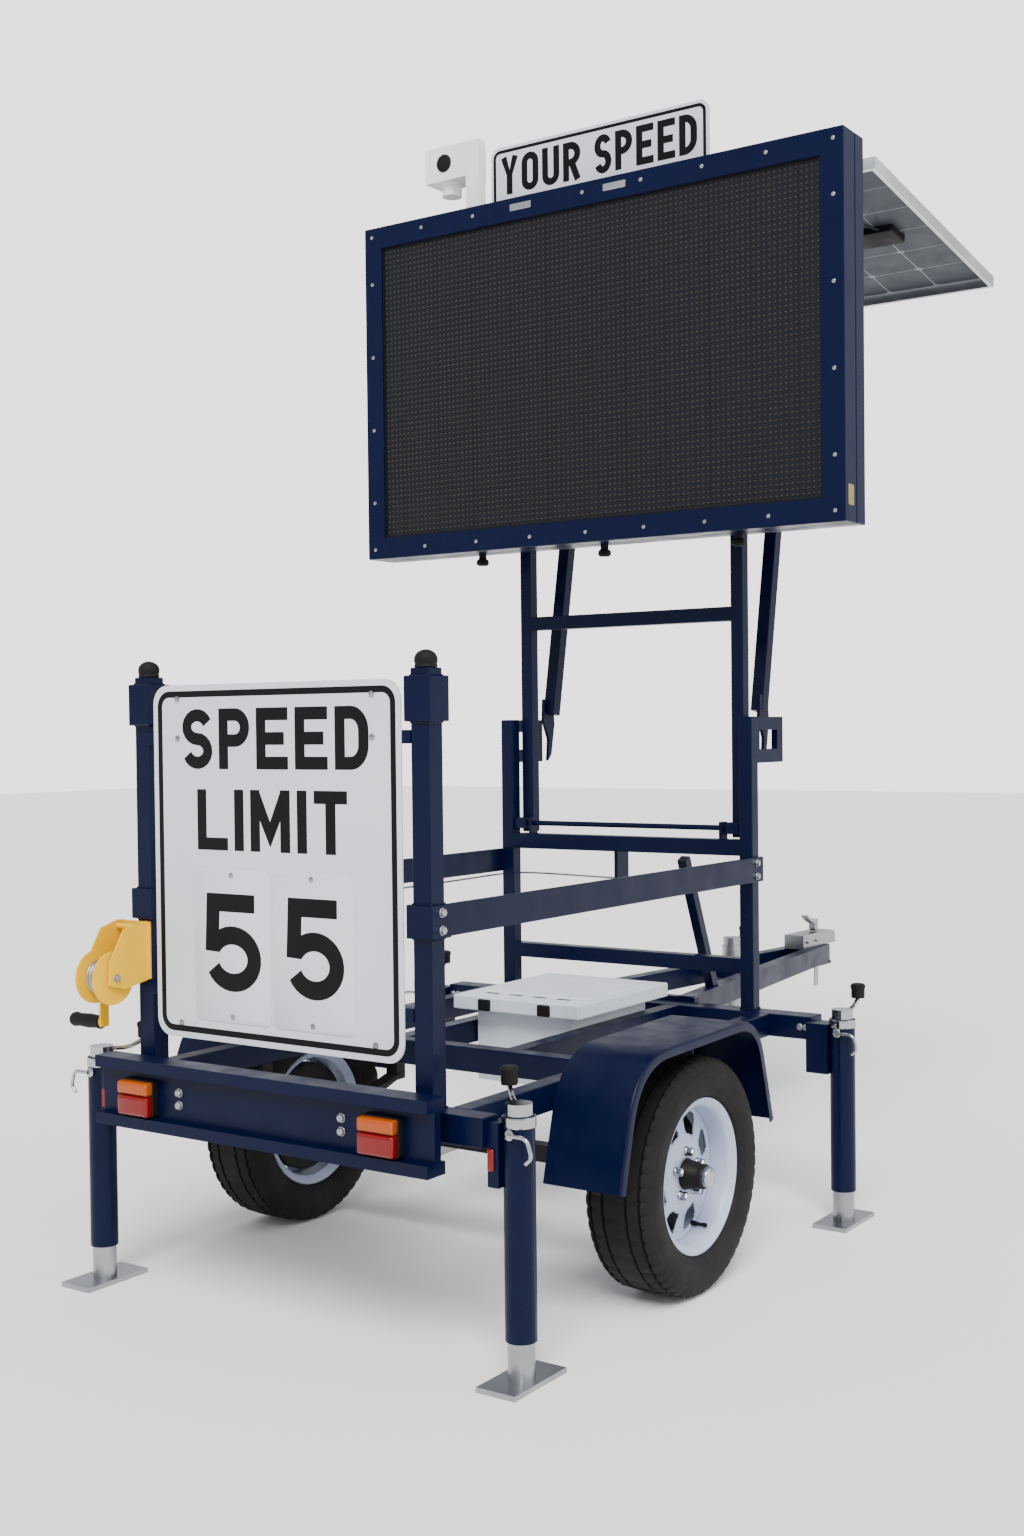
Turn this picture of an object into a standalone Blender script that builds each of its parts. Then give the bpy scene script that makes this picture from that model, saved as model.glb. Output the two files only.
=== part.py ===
"""Speed display trailer: a two-wheeled trailer that carries a hinged mast with a full-matrix
LED board, a folding solar panel on its prop, a rear speed limit sign and four corner jacks.

Metres, +Z up. Stations along the trailer are measured from the back face of the speed limit
sign, towards the hitch (+Y); the root empty then centres the trailer on its own box.
"""

import math

import bmesh
import bpy
from mathutils import Matrix, Vector

# ---------------------------------------------------------------- driving dimensions
GAP = 0.0003            # left between pieces that touch
EDGE = 0.003            # corner radius of the square tubes

CHASSIS_TOP = 0.570     # top of the chassis tubes above the ground
TUBE_DEEP = 0.065       # height of the chassis tubes
REAR_HALF = 0.585       # half length of the rear cross member
FRONT_HALF = 0.640      # half length of the front cross member
REAR_STATION = (-0.008, 0.055)
FRONT_STATION = (1.530, 1.605)
RAIL_X = (0.460, 0.510)
CRADLE_X = (0.165, 0.210)
CRADLE_REAR = 0.650
CRADLE_BAR = 0.050

LIGHT_BAR_HALF = 0.508

REAR_POST_X = 0.428
REAR_POST_Y = 0.0213
POST_HALF = 0.025
COLLAR_HALF = 0.036
SIDE_RAIL_Z = (0.945, 1.017)
SIDE_RAIL_THICK = 0.010
POST_TOP = 1.535
BUFFER_RADIUS = 0.026
BUFFER_TALL = 0.040

FRONT_POST_X = (0.401, 0.444)
FRONT_POST_Y = (1.560, 1.603)
FRONT_POST_TOP = 1.4285
BEAM_Z = (1.020, 1.067)
RUNG_Z = (0.674, 0.718)
LOOP_Y = (1.733, 1.770)
LOOP_Z = (1.292, 1.332, 1.389)

SIGN_HALF = 0.381
SIGN_Z = (0.664, 1.513)
SIGN_THICK = 0.003

WHEEL_Y = 0.759
WHEEL_RADIUS = 0.294
RIM_RADIUS = 0.192
TYRE_X = (0.530, 0.715)
GUARD_X = (0.5125, 0.722)

JACK_REAR = (0.645, 0.045)
JACK_FRONT = (0.737, 1.527)
JACK_RADIUS = 0.035
LEG_RADIUS = 0.030
JACK_TOP = 0.576
JACK_BOTTOM = 0.092
FOOT = (0.100, 0.200, 0.012)
CRANK_REACH = 0.110
SWIVEL_Z = 0.530
LEG_TOP = 0.450
DRAWBAR_JACK_Y = 2.290

MAST_X = (0.355, 0.395)
MAST_Y = (1.606, 1.646)
MAST_TOP = 2.680
MAST_AXIS = (1.582, 1.100)   # station and height of the mast's pivot pin
MAST_PIN = 0.008

BOARD_HALF = 0.825
BOARD_Z = (1.950, 3.008)
DOOR_Y = (1.370, 1.444)
CABINET_Y = (1.447, 1.505)
WINDOW_HALF = 0.757
WINDOW_Z = (2.016, 2.940)

SOLAR_AXIS = (1.575, 2.965)
SOLAR_HALF = 0.825
SOLAR_START = 0.012          # from the hinge pin to the panel's frame
KNUCKLE_RADIUS = 0.009
SOLAR_LONG = 0.990
SOLAR_THICK = 0.035
HINGES_X = (-0.620, 0.580)   # where the panel's hinge knuckles begin
SOLAR_DROP = math.radians(7.5)
PROP_AT = 0.455              # distance of the prop's pivot from the panel's hinge, along the panel
PROP_FOOT = (1.752, 1.445)   # station and height of the prop's lower end
PROP_LEAN = 0.190            # how far the prop leans forward for each metre of height

WINCH_AXIS = (-0.110, 0.810)
PINION_AXIS = (-0.060, 0.900)
WINCH_X = (-0.500, -0.420)
DRUM_RADIUS = 0.065
WINCH_REACH = 0.210

COUPLER_Y = (2.780, 3.060)
COUPLER_TOP = 0.635
LATCH_AXIS = (2.950, 0.652)

BOX_X = 0.160
BOX_Y = (1.020, 1.420)
BOX_Z = (0.400, 0.604)
LID_X = 0.210
LID_Y = (0.970, 1.470)
LID_Z = (0.6045, 0.645)

NAVY = ((0.012, 0.030, 0.115), 0.38, 0.25)
BLACK = ((0.015, 0.015, 0.017), 0.55, 0.0)
STEEL = ((0.72, 0.73, 0.75), 0.28, 1.0)
YELLOW = ((0.80, 0.62, 0.02), 0.40, 0.1)
SIGN_WHITE = ((0.82, 0.83, 0.86), 0.45, 0.0)
BOX_GREY = ((0.62, 0.65, 0.68), 0.50, 0.0)
RIM_WHITE = ((0.68, 0.72, 0.82), 0.35, 0.1)
LAMP_RED = ((0.55, 0.02, 0.01), 0.20, 0.0)
SOLAR_BLUE = ((0.03, 0.04, 0.07), 0.15, 0.0)

for old in list(bpy.data.objects):
    bpy.data.objects.remove(old, do_unlink=True)

parts = bpy.data.collections.new("speed_display_trailer")
cutters = bpy.data.collections.new("cutters")
for collection in (parts, cutters):
    bpy.context.scene.collection.children.link(collection)


# ---------------------------------------------------------------- tools
def place(piece, collection):
    for home in list(piece.users_collection):
        home.objects.unlink(piece)
    collection.objects.link(piece)


def pivot(name, location, parent=None):
    """An empty on a joint's axis; what it holds keeps its place in the world."""
    empty = bpy.data.objects.new(name, None)
    parts.objects.link(empty)
    empty.location = location
    bpy.context.view_layer.update()
    if parent:
        hold(parent, empty)
    return empty


def hold(parent, *children):
    for child in children:
        child.parent = parent
        child.matrix_parent_inverse = parent.matrix_world.inverted()
    bpy.context.view_layer.update()


def finish(piece, name, look):
    colour, roughness, metallic = look
    piece.name = name
    piece.data.name = name
    material = bpy.data.materials.new(name)
    material.use_nodes = True
    shader = material.node_tree.nodes["Principled BSDF"]
    shader.inputs["Base Color"].default_value = (*colour, 1.0)
    shader.inputs["Roughness"].default_value = roughness
    shader.inputs["Metallic"].default_value = metallic
    piece.data.materials.clear()
    piece.data.materials.append(material)
    place(piece, parts)
    return piece


def apply_scale(piece):
    bpy.ops.object.select_all(action="DESELECT")
    piece.select_set(True)
    bpy.context.view_layer.objects.active = piece
    bpy.ops.object.transform_apply(location=False, rotation=False, scale=True)


def soften(piece, radius, segments=2):
    bevel = piece.modifiers.new("edge", "BEVEL")
    bevel.width = radius
    bevel.segments = segments
    bevel.limit_method = "ANGLE"


def block(low, high, radius=EDGE):
    """A box between two corners."""
    low, high = Vector(low), Vector(high)
    bpy.ops.mesh.primitive_cube_add(size=1, location=(low + high) / 2)
    piece = bpy.context.object
    piece.scale = high - low
    apply_scale(piece)
    if radius:
        soften(piece, radius)
    return piece


def bar(start, end, across, wide, deep, radius=EDGE):
    """A straight tube from start to end; across is the direction of its width."""
    start, end = Vector(start), Vector(end)
    along = (end - start).normalized()
    upward = along.cross(Vector(across)).normalized()
    turn = Matrix((upward.cross(along), upward, along)).transposed().to_4x4()
    bpy.ops.mesh.primitive_cube_add(size=1)
    piece = bpy.context.object
    piece.scale = (wide, deep, (end - start).length)
    apply_scale(piece)
    piece.matrix_world = Matrix.Translation((start + end) / 2) @ turn
    if radius:
        soften(piece, radius)
    return piece


def rod(start, end, radius, sides=20):
    start, end = Vector(start), Vector(end)
    bpy.ops.mesh.primitive_cylinder_add(
        vertices=sides, radius=radius, depth=(end - start).length, location=(start + end) / 2
    )
    piece = bpy.context.object
    piece.rotation_mode = "QUATERNION"
    piece.rotation_quaternion = (end - start).to_track_quat("Z", "Y")
    return piece


def turned(profile, steps, centre, axis="Z", corner=0.0):
    """A profile of (radius, height), outer side top to bottom, spun about an axis at centre."""
    mesh = bpy.data.meshes.new("turned")
    closed = profile[0] == profile[-1]
    ring = profile[:-1] if closed else profile
    points = [(r * math.cos(corner), r * math.sin(corner), h) for r, h in ring]
    edges = [(i, i + 1) for i in range(len(points) - 1)]
    if closed:
        edges.append((len(points) - 1, 0))
    mesh.from_pydata(points, edges, [])
    piece = bpy.data.objects.new("turned", mesh)
    parts.objects.link(piece)
    piece.location = centre
    if axis == "X":
        piece.rotation_euler = (0, math.pi / 2, 0)
    spin = piece.modifiers.new("spin", "SCREW")
    spin.steps = steps
    spin.render_steps = steps
    spin.use_merge_vertices = True
    spin.merge_threshold = 0.0001
    bpy.context.view_layer.update()
    return piece


def slab(outline, thick, origin, plane):
    """A flat outline of (across, up) points, extruded evenly about origin.

    Plane "XZ" stands across the trailer and plane "YZ" along it."""
    curve = bpy.data.curves.new("slab", "CURVE")
    curve.dimensions = "2D"
    curve.fill_mode = "BOTH"
    curve.extrude = thick / 2
    spline = curve.splines.new("POLY")
    spline.points.add(len(outline) - 1)
    for point, (a, b) in zip(spline.points, outline):
        point.co = (a, b, 0, 1)
    spline.use_cyclic_u = True
    piece = bpy.data.objects.new("slab", curve)
    parts.objects.link(piece)
    piece.location = origin
    piece.rotation_euler = (math.pi / 2, 0, 0 if plane == "XZ" else math.pi / 2)
    return meshed(piece)


def meshed(curve_object):
    """The curve made a mesh, with its caps welded on, in the same place."""
    bpy.context.view_layer.update()
    seen = curve_object.evaluated_get(bpy.context.evaluated_depsgraph_get())
    mesh = bpy.data.meshes.new_from_object(seen)
    body = bmesh.new()
    body.from_mesh(mesh)
    bmesh.ops.remove_doubles(body, verts=body.verts, dist=0.00001)
    bmesh.ops.recalc_face_normals(body, faces=body.faces)
    body.to_mesh(mesh)
    body.free()
    piece = bpy.data.objects.new("mesh", mesh)
    parts.objects.link(piece)
    piece.matrix_world = curve_object.matrix_world.copy()
    bpy.data.objects.remove(curve_object, do_unlink=True)
    return piece


def pipe(points, radius, resolution=2):
    curve = bpy.data.curves.new("pipe", "CURVE")
    curve.dimensions = "3D"
    curve.bevel_depth = radius
    curve.bevel_resolution = resolution
    curve.use_fill_caps = True
    spline = curve.splines.new("POLY")
    spline.points.add(len(points) - 1)
    for point, place_at in zip(spline.points, points):
        point.co = (*place_at, 1)
    piece = bpy.data.objects.new("pipe", curve)
    parts.objects.link(piece)
    return meshed(piece)


def join(base, *others, operation="UNION"):
    """Booleans that weld the others on to the base, or cut them out of it."""
    bpy.context.view_layer.update()
    hold(base, *others)
    for other in others:
        place(other, cutters)
        other.hide_render = True
        other.display_type = "WIRE"
        boolean = base.modifiers.new(operation.lower(), "BOOLEAN")
        boolean.operation = operation
        boolean.solver = "EXACT"
        boolean.object = other
    return base


def cut(base, *others):
    return join(base, *others, operation="DIFFERENCE")


def smooth_route(knots, per_span):
    """A Catmull-Rom curve through the knots, read at even steps of each span."""
    knots = [Vector(k) for k in knots]
    padded = [knots[0] * 2 - knots[1]] + knots + [knots[-1] * 2 - knots[-2]]
    route = []
    for a, b, c, d in zip(padded, padded[1:], padded[2:], padded[3:]):
        for i in range(per_span):
            t = i / per_span
            route.append(
                0.5 * (2 * b + (c - a) * t + (2 * a - 5 * b + 4 * c - d) * t**2
                       + (3 * b - a - 3 * c + d) * t**3)
            )
    return route + [knots[-1]]


def both_sides(make, name, look, parent):
    """The same piece on the right (+X) and on the left."""
    for side, word in ((1, "right"), (-1, "left")):
        hold(parent, finish(make(side), f"{name}_{word}", look))


def sided(side, x_range, y_range, z_range):
    """Corners of a box that is given for the right side."""
    xs = sorted(side * x for x in x_range)
    return (xs[0], y_range[0], z_range[0]), (xs[1], y_range[1], z_range[1])


# ---------------------------------------------------------------- chassis
def chassis(trailer):
    low = CHASSIS_TOP - TUBE_DEEP
    rear = block((-REAR_HALF, REAR_STATION[0], low), (REAR_HALF, REAR_STATION[1], CHASSIS_TOP))
    hold(trailer, finish(rear, "rear_cross_member", NAVY))
    front = block((-FRONT_HALF, FRONT_STATION[0], low), (FRONT_HALF, FRONT_STATION[1], CHASSIS_TOP))
    hold(trailer, finish(front, "front_cross_member", NAVY))

    rail_span = (REAR_STATION[1] + GAP, FRONT_STATION[0] - GAP)
    both_sides(
        lambda side: block(*sided(side, RAIL_X, rail_span, (low, CHASSIS_TOP))),
        "chassis_rail", NAVY, trailer,
    )

    reach = RAIL_X[0] - GAP
    cradle = block((-reach, CRADLE_REAR, low), (reach, CRADLE_REAR + CRADLE_BAR, CHASSIS_TOP))
    arm_span = (CRADLE_REAR + CRADLE_BAR / 2, FRONT_STATION[0] - GAP)
    arms = [block(*sided(s, CRADLE_X, arm_span, (low + 0.001, CHASSIS_TOP - 0.001)), radius=0)
            for s in (1, -1)]
    hold(trailer, finish(join(cradle, *arms), "box_cradle", NAVY))

    hold(trailer, finish(drawbar(), "drawbar", NAVY))


def drawbar():
    """Two tubes that run together to the coupling, with a plate across their ends, a bridge for
    the hitch jack and the brace that stands up to the gantry's beam."""
    top, deep = 0.585, TUBE_DEEP
    wide = 0.045
    start_y, end_y = FRONT_STATION[1] + 0.004, 2.985
    arms = []
    for side in (1, -1):
        start = (side * 0.190, start_y, top - deep / 2)
        end = (side * 0.026, end_y, top - deep / 2)
        arms.append(bar(start, end, (1, 0, 0), wide, deep, radius=0))
    plate = block((-0.052, 2.700, top - deep - 0.006), (0.052, 2.990, top - deep + 0.004), radius=0)
    foot = block((-0.225, FRONT_STATION[1] + GAP, top - deep + 0.002),
                 (0.225, FRONT_STATION[1] + 0.030, top - 0.002), radius=0)
    ring_y = DRAWBAR_JACK_Y
    bridge = block((-0.125, ring_y - 0.050, top - 0.040), (0.125, ring_y + 0.050, top - 0.006), radius=0)
    brace = bar((0.160, 1.850, top - 0.025), (0.175, FRONT_POST_Y[1] + 0.032, 1.000), (1, 0, 0),
                0.030, 0.030, radius=0)
    frame = join(arms[0], arms[1], foot, plate, bridge, brace)
    return cut(frame, rod((0, ring_y, top - 0.060), (0, ring_y, top + 0.020), JACK_RADIUS + GAP, 28))


def light_bar():
    """The rear beam: two flat tubes with a set-back web between them."""
    back, front = -0.036, -0.100
    low, low_top, high_low, high = 0.4485, 0.4765, 0.587, 0.615
    web_back, web_front = -0.050, -0.072
    half = LIGHT_BAR_HALF
    web = block((-half + 0.001, web_front, low_top - 0.005), (half - 0.001, web_back, high_low + 0.005),
                radius=0)
    flanges = [block((-half, front, z0), (half, back, z1), radius=0)
               for z0, z1 in ((low, low_top), (high_low, high))]
    ties = [block((side * 0.25 - 0.03, web_back - 0.004, 0.500),
                  (side * 0.25 + 0.03, REAR_STATION[0] - GAP, 0.565), radius=0) for side in (1, -1)]
    return join(web, *flanges, *ties)


def rear_post(side):
    """A square post with a collar for the side rail and one at its head."""
    corner = math.sqrt(2)
    steps = [
        (0.0, POST_TOP), (POST_HALF, POST_TOP), (POST_HALF, 1.518), (COLLAR_HALF, 1.518),
        (COLLAR_HALF, 1.418), (POST_HALF, 1.418), (POST_HALF, 1.018), (COLLAR_HALF, 1.018),
        (COLLAR_HALF, 0.944), (POST_HALF, 0.944), (POST_HALF, CHASSIS_TOP + GAP),
        (0.0, CHASSIS_TOP + GAP),
    ]
    profile = [(half * corner, z) for half, z in steps]
    post = turned(profile, 4, (side * REAR_POST_X, REAR_POST_Y, 0), corner=math.pi / 4)
    soften(post, 0.002, segments=1)
    return post


def buffer(side):
    base = POST_TOP + GAP
    top = base + BUFFER_TALL
    r = BUFFER_RADIUS
    profile = [(0, top), (r * 0.6, top - 0.002), (r * 0.9, top - 0.009), (r, top - 0.018),
               (r, base), (0, base)]
    return turned(profile, 20, (side * REAR_POST_X, REAR_POST_Y, 0))


def upper_rail(side):
    outer = FRONT_POST_X[1] + GAP + SIDE_RAIL_THICK
    span = (REAR_POST_Y + COLLAR_HALF + GAP, FRONT_POST_Y[1] + 0.009)
    return block(*sided(side, (FRONT_POST_X[1] + GAP, outer), span, SIDE_RAIL_Z), radius=0.002)


def front_gantry():
    """Two posts with a beam, a rung and the two loops that the prop hooks into."""
    y0, y1 = FRONT_POST_Y
    posts = [block(*sided(s, FRONT_POST_X, FRONT_POST_Y, (CHASSIS_TOP + GAP, FRONT_POST_TOP)))
             for s in (1, -1)]
    reach = FRONT_POST_X[0] + 0.010
    beam = block((-reach, y0 + 0.0005, BEAM_Z[0]), (reach, y1 - 0.0005, BEAM_Z[1]), radius=0)
    rung = block((-reach, y0 + 0.0005, RUNG_Z[0]), (reach, y1 - 0.0005, RUNG_Z[1]), radius=0)
    loop_x = (0.424, FRONT_POST_X[1] - 0.0005)
    loops = [block(*sided(s, loop_x, (y1 - 0.010, LOOP_Y[1]), (LOOP_Z[0], FRONT_POST_TOP - 0.0008)),
                   radius=0) for s in (1, -1)]
    lug_z = (BEAM_Z[1] - 0.010, MAST_AXIS[1] + 0.018)
    lugs = [block(*sided(s, (0.333, 0.343), (MAST_AXIS[0] - 0.018, MAST_AXIS[0] + 0.018), lug_z),
                  radius=0) for s in (1, -1)]
    eye = block((-0.047, y1 - 0.008, 0.915), (-0.035, 1.662, BEAM_Z[0] + 0.012), radius=0)
    windows = [block(*sided(s, (0.400, 0.470), (y1 + 0.012, LOOP_Y[0]), (LOOP_Z[1], LOOP_Z[2])),
                     radius=0) for s in (1, -1)]
    gantry = join(posts[0], posts[1], beam, rung, *loops, *lugs, eye)
    bores = [rod((s * 0.320, *MAST_AXIS), (s * 0.355, *MAST_AXIS), MAST_PIN + GAP) for s in (1, -1)]
    return cut(gantry, *windows, *bores)


def uprights(trailer):
    both_sides(rear_post, "rear_post", NAVY, trailer)
    both_sides(buffer, "rest_buffer", BLACK, trailer)
    both_sides(upper_rail, "upper_rail", NAVY, trailer)
    hold(trailer, finish(light_bar(), "rear_light_bar", NAVY))
    hold(trailer, finish(front_gantry(), "front_gantry", NAVY))


# ---------------------------------------------------------------- sign and lamps
def rounded(half_wide, low, high, radius, steps=6):
    corners = [(half_wide - radius, low + radius, -90), (half_wide - radius, high - radius, 0),
               (radius - half_wide, high - radius, 90), (radius - half_wide, low + radius, 180)]
    outline = []
    for x, z, begin in corners:
        for i in range(steps + 1):
            angle = math.radians(begin + 90 * i / steps)
            outline.append((x + radius * math.cos(angle), z + radius * math.sin(angle)))
    return outline


def sign(trailer):
    panel = slab(rounded(SIGN_HALF, *SIGN_Z, 0.045), SIGN_THICK, (0, -0.0085, 0), "XZ")
    hold(trailer, finish(panel, "speed_limit_sign", SIGN_WHITE))
    reach = REAR_POST_X - POST_HALF - GAP
    frame = block((-reach, -0.0063, 1.370), (reach, 0.024, 1.400), radius=0)
    lower = block((-reach, -0.0063, 0.760), (reach, 0.024, 0.790), radius=0)
    spine = block((-0.020, -0.0060, 0.770), (0.020, 0.020, 1.390), radius=0)
    hold(trailer, finish(join(frame, spine, lower), "sign_bracket", STEEL))


def tail_lamp(side):
    centre = 0.372 * side
    lamp = block((centre - 0.053, -0.113, 0.479), (centre + 0.053, -0.0723, 0.567), radius=0.006)
    return lamp


# ---------------------------------------------------------------- wheels, axle and guards
def tyre(side):
    """A turned tyre: crowned tread, rounded shoulders and bulging walls."""
    inner, outer = TYRE_X
    half = (outer - inner) / 2
    r = WHEEL_RADIUS
    bead = RIM_RADIUS + 0.0006
    right_half = [(bead, half * 0.80), (bead + 0.012, half * 0.92), (r - 0.055, half),
                  (r - 0.028, half * 0.97), (r - 0.008, half * 0.84), (r - 0.002, half * 0.60)]
    profile = [(radius, x) for radius, x in right_half] + [(r, 0.0)]
    profile += [(radius, -x) for radius, x in reversed(right_half)] + [right_half[0]]
    return turned(profile, 40, (side * (inner + outer) / 2, WHEEL_Y, WHEEL_RADIUS), axis="X")


def rim(side):
    """A pressed wheel: a dished disc in a barrel, with its hub standing out in the middle."""
    middle = (TYRE_X[0] + TYRE_X[1]) / 2
    half = (TYRE_X[1] - TYRE_X[0]) / 2 * 0.86
    barrel = RIM_RADIUS - 0.020
    out = [
        (0.0, 0.098), (0.022, 0.098), (0.024, 0.062), (0.036, 0.060), (0.040, 0.034),
        (0.066, 0.034), (0.080, 0.030), (0.130, 0.016), (barrel - 0.006, 0.010),
        (barrel - 0.002, half - 0.014), (RIM_RADIUS - 0.004, half - 0.004),
        (RIM_RADIUS, half - 0.006), (RIM_RADIUS, half - 0.016), (barrel + 0.003, half - 0.022),
        (barrel + 0.003, -half + 0.022), (RIM_RADIUS, -half + 0.014), (RIM_RADIUS, -half + 0.004),
        (barrel - 0.002, -half + 0.012), (barrel - 0.006, 0.002), (0.056, 0.010),
        (0.050, -0.050), (0.0, -0.050),
    ]
    profile = [(radius, side * x) for radius, x in out]
    if side < 0:
        profile.reverse()
    disc = turned(profile, 40, (side * middle, WHEEL_Y, WHEEL_RADIUS), axis="X")
    cutouts = []
    for k in range(8):
        angle = math.radians(22.5 + 45 * k)
        y = WHEEL_Y + 0.122 * math.cos(angle)
        z = WHEEL_RADIUS + 0.122 * math.sin(angle)
        cutouts.append(wedge(side * middle, y, z, angle))
    return cut(disc, *cutouts)


def wedge(x, y, z, angle):
    """A three-sided prism along X, its broad side turned outwards: one window of the wheel."""
    out, half = 0.024, 0.022
    outline = []
    for a, b in ((-out, -half * 0.45), (out, -half), (out, half), (-out, half * 0.45)):
        outline.append((a * math.cos(angle) - b * math.sin(angle),
                        a * math.sin(angle) + b * math.cos(angle)))
    return slab(outline, 0.120, (x, y, z), "YZ")


def axle():
    """The square axle beam, with a round stub at each end."""
    beam = bar((-0.500, WHEEL_Y, WHEEL_RADIUS), (0.500, WHEEL_Y, WHEEL_RADIUS), (0, 1, 0), 0.045, 0.045)
    stub_end = (TYRE_X[0] + TYRE_X[1]) / 2 - 0.0507
    stub = rod((-stub_end, WHEEL_Y, WHEEL_RADIUS), (stub_end, WHEEL_Y, WHEEL_RADIUS), 0.018)
    return join(beam, stub)


def leaf_spring(side):
    """A bowed spring pack under the chassis rail, on its two hangers."""
    x = side * (RAIL_X[0] + RAIL_X[1]) / 2
    half, arch, steps = 0.300, 0.055, 8
    top_z = CHASSIS_TOP - TUBE_DEEP - GAP
    seat = WHEEL_RADIUS + 0.0225 + GAP
    under, over = [], []
    for i in range(steps + 1):
        t = -1 + 2 * i / steps
        y = WHEEL_Y + half * t
        under.append((y, seat + arch * t * t))
        over.append((y, seat + arch * t * t + 0.030 - 0.018 * abs(t)))
    spring = slab(under + over[::-1], 0.045, (x, 0, 0), "YZ")
    hangers = [block((x - 0.020, WHEEL_Y + e * (half - 0.010) - 0.020, seat + arch * 0.80),
                     (x + 0.020, WHEEL_Y + e * (half - 0.010) + 0.020, top_z), radius=0) for e in (1, -1)]
    return join(spring, *hangers)


def guard_path():
    """Centre line of the mudguard, from its rear edge over the wheel to its front edge."""
    corners = [(0.335, 0.345), (0.415, 0.640), (1.035, 0.650), (1.118, 0.370)]
    bends = (0.150, 0.110)
    path = [corners[0]]
    for before, corner, after, reach in zip(corners, corners[1:], corners[2:], bends):
        a = Vector(corner) + (Vector(before) - Vector(corner)).normalized() * reach
        b = Vector(corner) + (Vector(after) - Vector(corner)).normalized() * reach
        for i in range(7):
            t = i / 6
            path.append(tuple(a * (1 - t) ** 2 + Vector(corner) * 2 * t * (1 - t) + b * t**2))
    return path + [corners[-1]]


def mudguard(side):
    """A bent sheet over the wheel with a return lip down its outer edge and a web inside."""
    thick = 0.003
    xs = sorted((side * GUARD_X[0], side * GUARD_X[1]))
    path = guard_path()
    rows = [[(x, y, z) for y, z in path] for x in xs]
    mesh = bpy.data.meshes.new("guard")
    count = len(path)
    faces = [(i, i + 1, count + i + 1, count + i) for i in range(count - 1)]
    mesh.from_pydata(rows[0] + rows[1], [], faces)
    sheet = bpy.data.objects.new("guard", mesh)
    parts.objects.link(sheet)
    shell = sheet.modifiers.new("sheet", "SOLIDIFY")
    shell.thickness = thick
    shell.offset = 0
    lip_low = [(y, z) for y, z in offset_path(path, -0.022)]
    lip = slab(path + lip_low[::-1], 0.003, (side * (GUARD_X[1] - 0.0025), 0, 0), "YZ")
    return join(sheet, lip)


def offset_path(path, distance):
    """The same line moved sideways, each point along the bisector of its two legs."""
    moved = []
    for i, point in enumerate(path):
        before = Vector(path[max(i - 1, 0)])
        after = Vector(path[min(i + 1, len(path) - 1)])
        along = (after - before).normalized()
        moved.append((point[0] - along.y * distance, point[1] + along.x * distance))
    return moved


def running_gear(trailer):
    hold(trailer, finish(axle(), "axle", BLACK))
    both_sides(leaf_spring, "leaf_spring", BLACK, trailer)
    both_sides(mudguard, "mudguard", NAVY, trailer)
    for side, word in ((1, "right"), (-1, "left")):
        hub = pivot(f"wheel_{word}_axis", (side * 0.6225, WHEEL_Y, WHEEL_RADIUS), trailer)
        hold(hub, finish(tyre(side), f"tyre_{word}", BLACK), finish(rim(side), f"rim_{word}", RIM_WHITE))


# ---------------------------------------------------------------- jacks
def jack_tube(x, y, member_end):
    """The outer tube, open below, with its swivel plate against the cross member's end."""
    side = 1 if x > 0 else -1
    wall = LEG_RADIUS + GAP
    profile = [(0, JACK_TOP), (JACK_RADIUS, JACK_TOP), (JACK_RADIUS, JACK_BOTTOM), (wall, JACK_BOTTOM),
               (wall, JACK_TOP - 0.006), (0, JACK_TOP - 0.006)]
    tube = turned(profile, 28, (x, y, 0))
    near = side * (member_end + GAP)
    ear = block(*sided(side, (abs(near), abs(x) - wall - 0.0015), (y - 0.034, y + 0.034),
                       (SWIVEL_Z - 0.110, SWIVEL_Z + 0.030)), radius=0)
    return join(tube, ear)


def jack_leg(x, y):
    """The inner leg on its foot plate."""
    leg = rod((x, y, FOOT[2] / 2), (x, y, LEG_TOP), LEG_RADIUS, sides=28)
    foot = block((x - FOOT[0] / 2, y - FOOT[1] / 2, 0), (x + FOOT[0] / 2, y + FOOT[1] / 2, FOOT[2]),
                 radius=0)
    return join(leg, foot)


def jack_crank(x, y, heading):
    """The geared head with its bent handle and knob; heading is the handle's direction."""
    base = JACK_TOP + GAP
    head = rod((x, y, base), (x, y, base + 0.026), 0.030, sides=20)
    out = Vector((math.cos(heading), math.sin(heading), 0))
    start = Vector((x, y, base + 0.018))
    points = [start, start + out * 0.055, start + out * 0.075 + Vector((0, 0, 0.004)),
              start + out * (CRANK_REACH - 0.012) + Vector((0, 0, 0.016)),
              start + out * CRANK_REACH + Vector((0, 0, 0.024)),
              start + out * CRANK_REACH + Vector((0, 0, 0.040))]
    handle = pipe(points, 0.006)
    top = start + out * CRANK_REACH + Vector((0, 0, 0.034))
    knob = rod(top, top + Vector((0, 0, 0.030)), 0.018, sides=14)
    return join(head, handle, knob)


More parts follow.
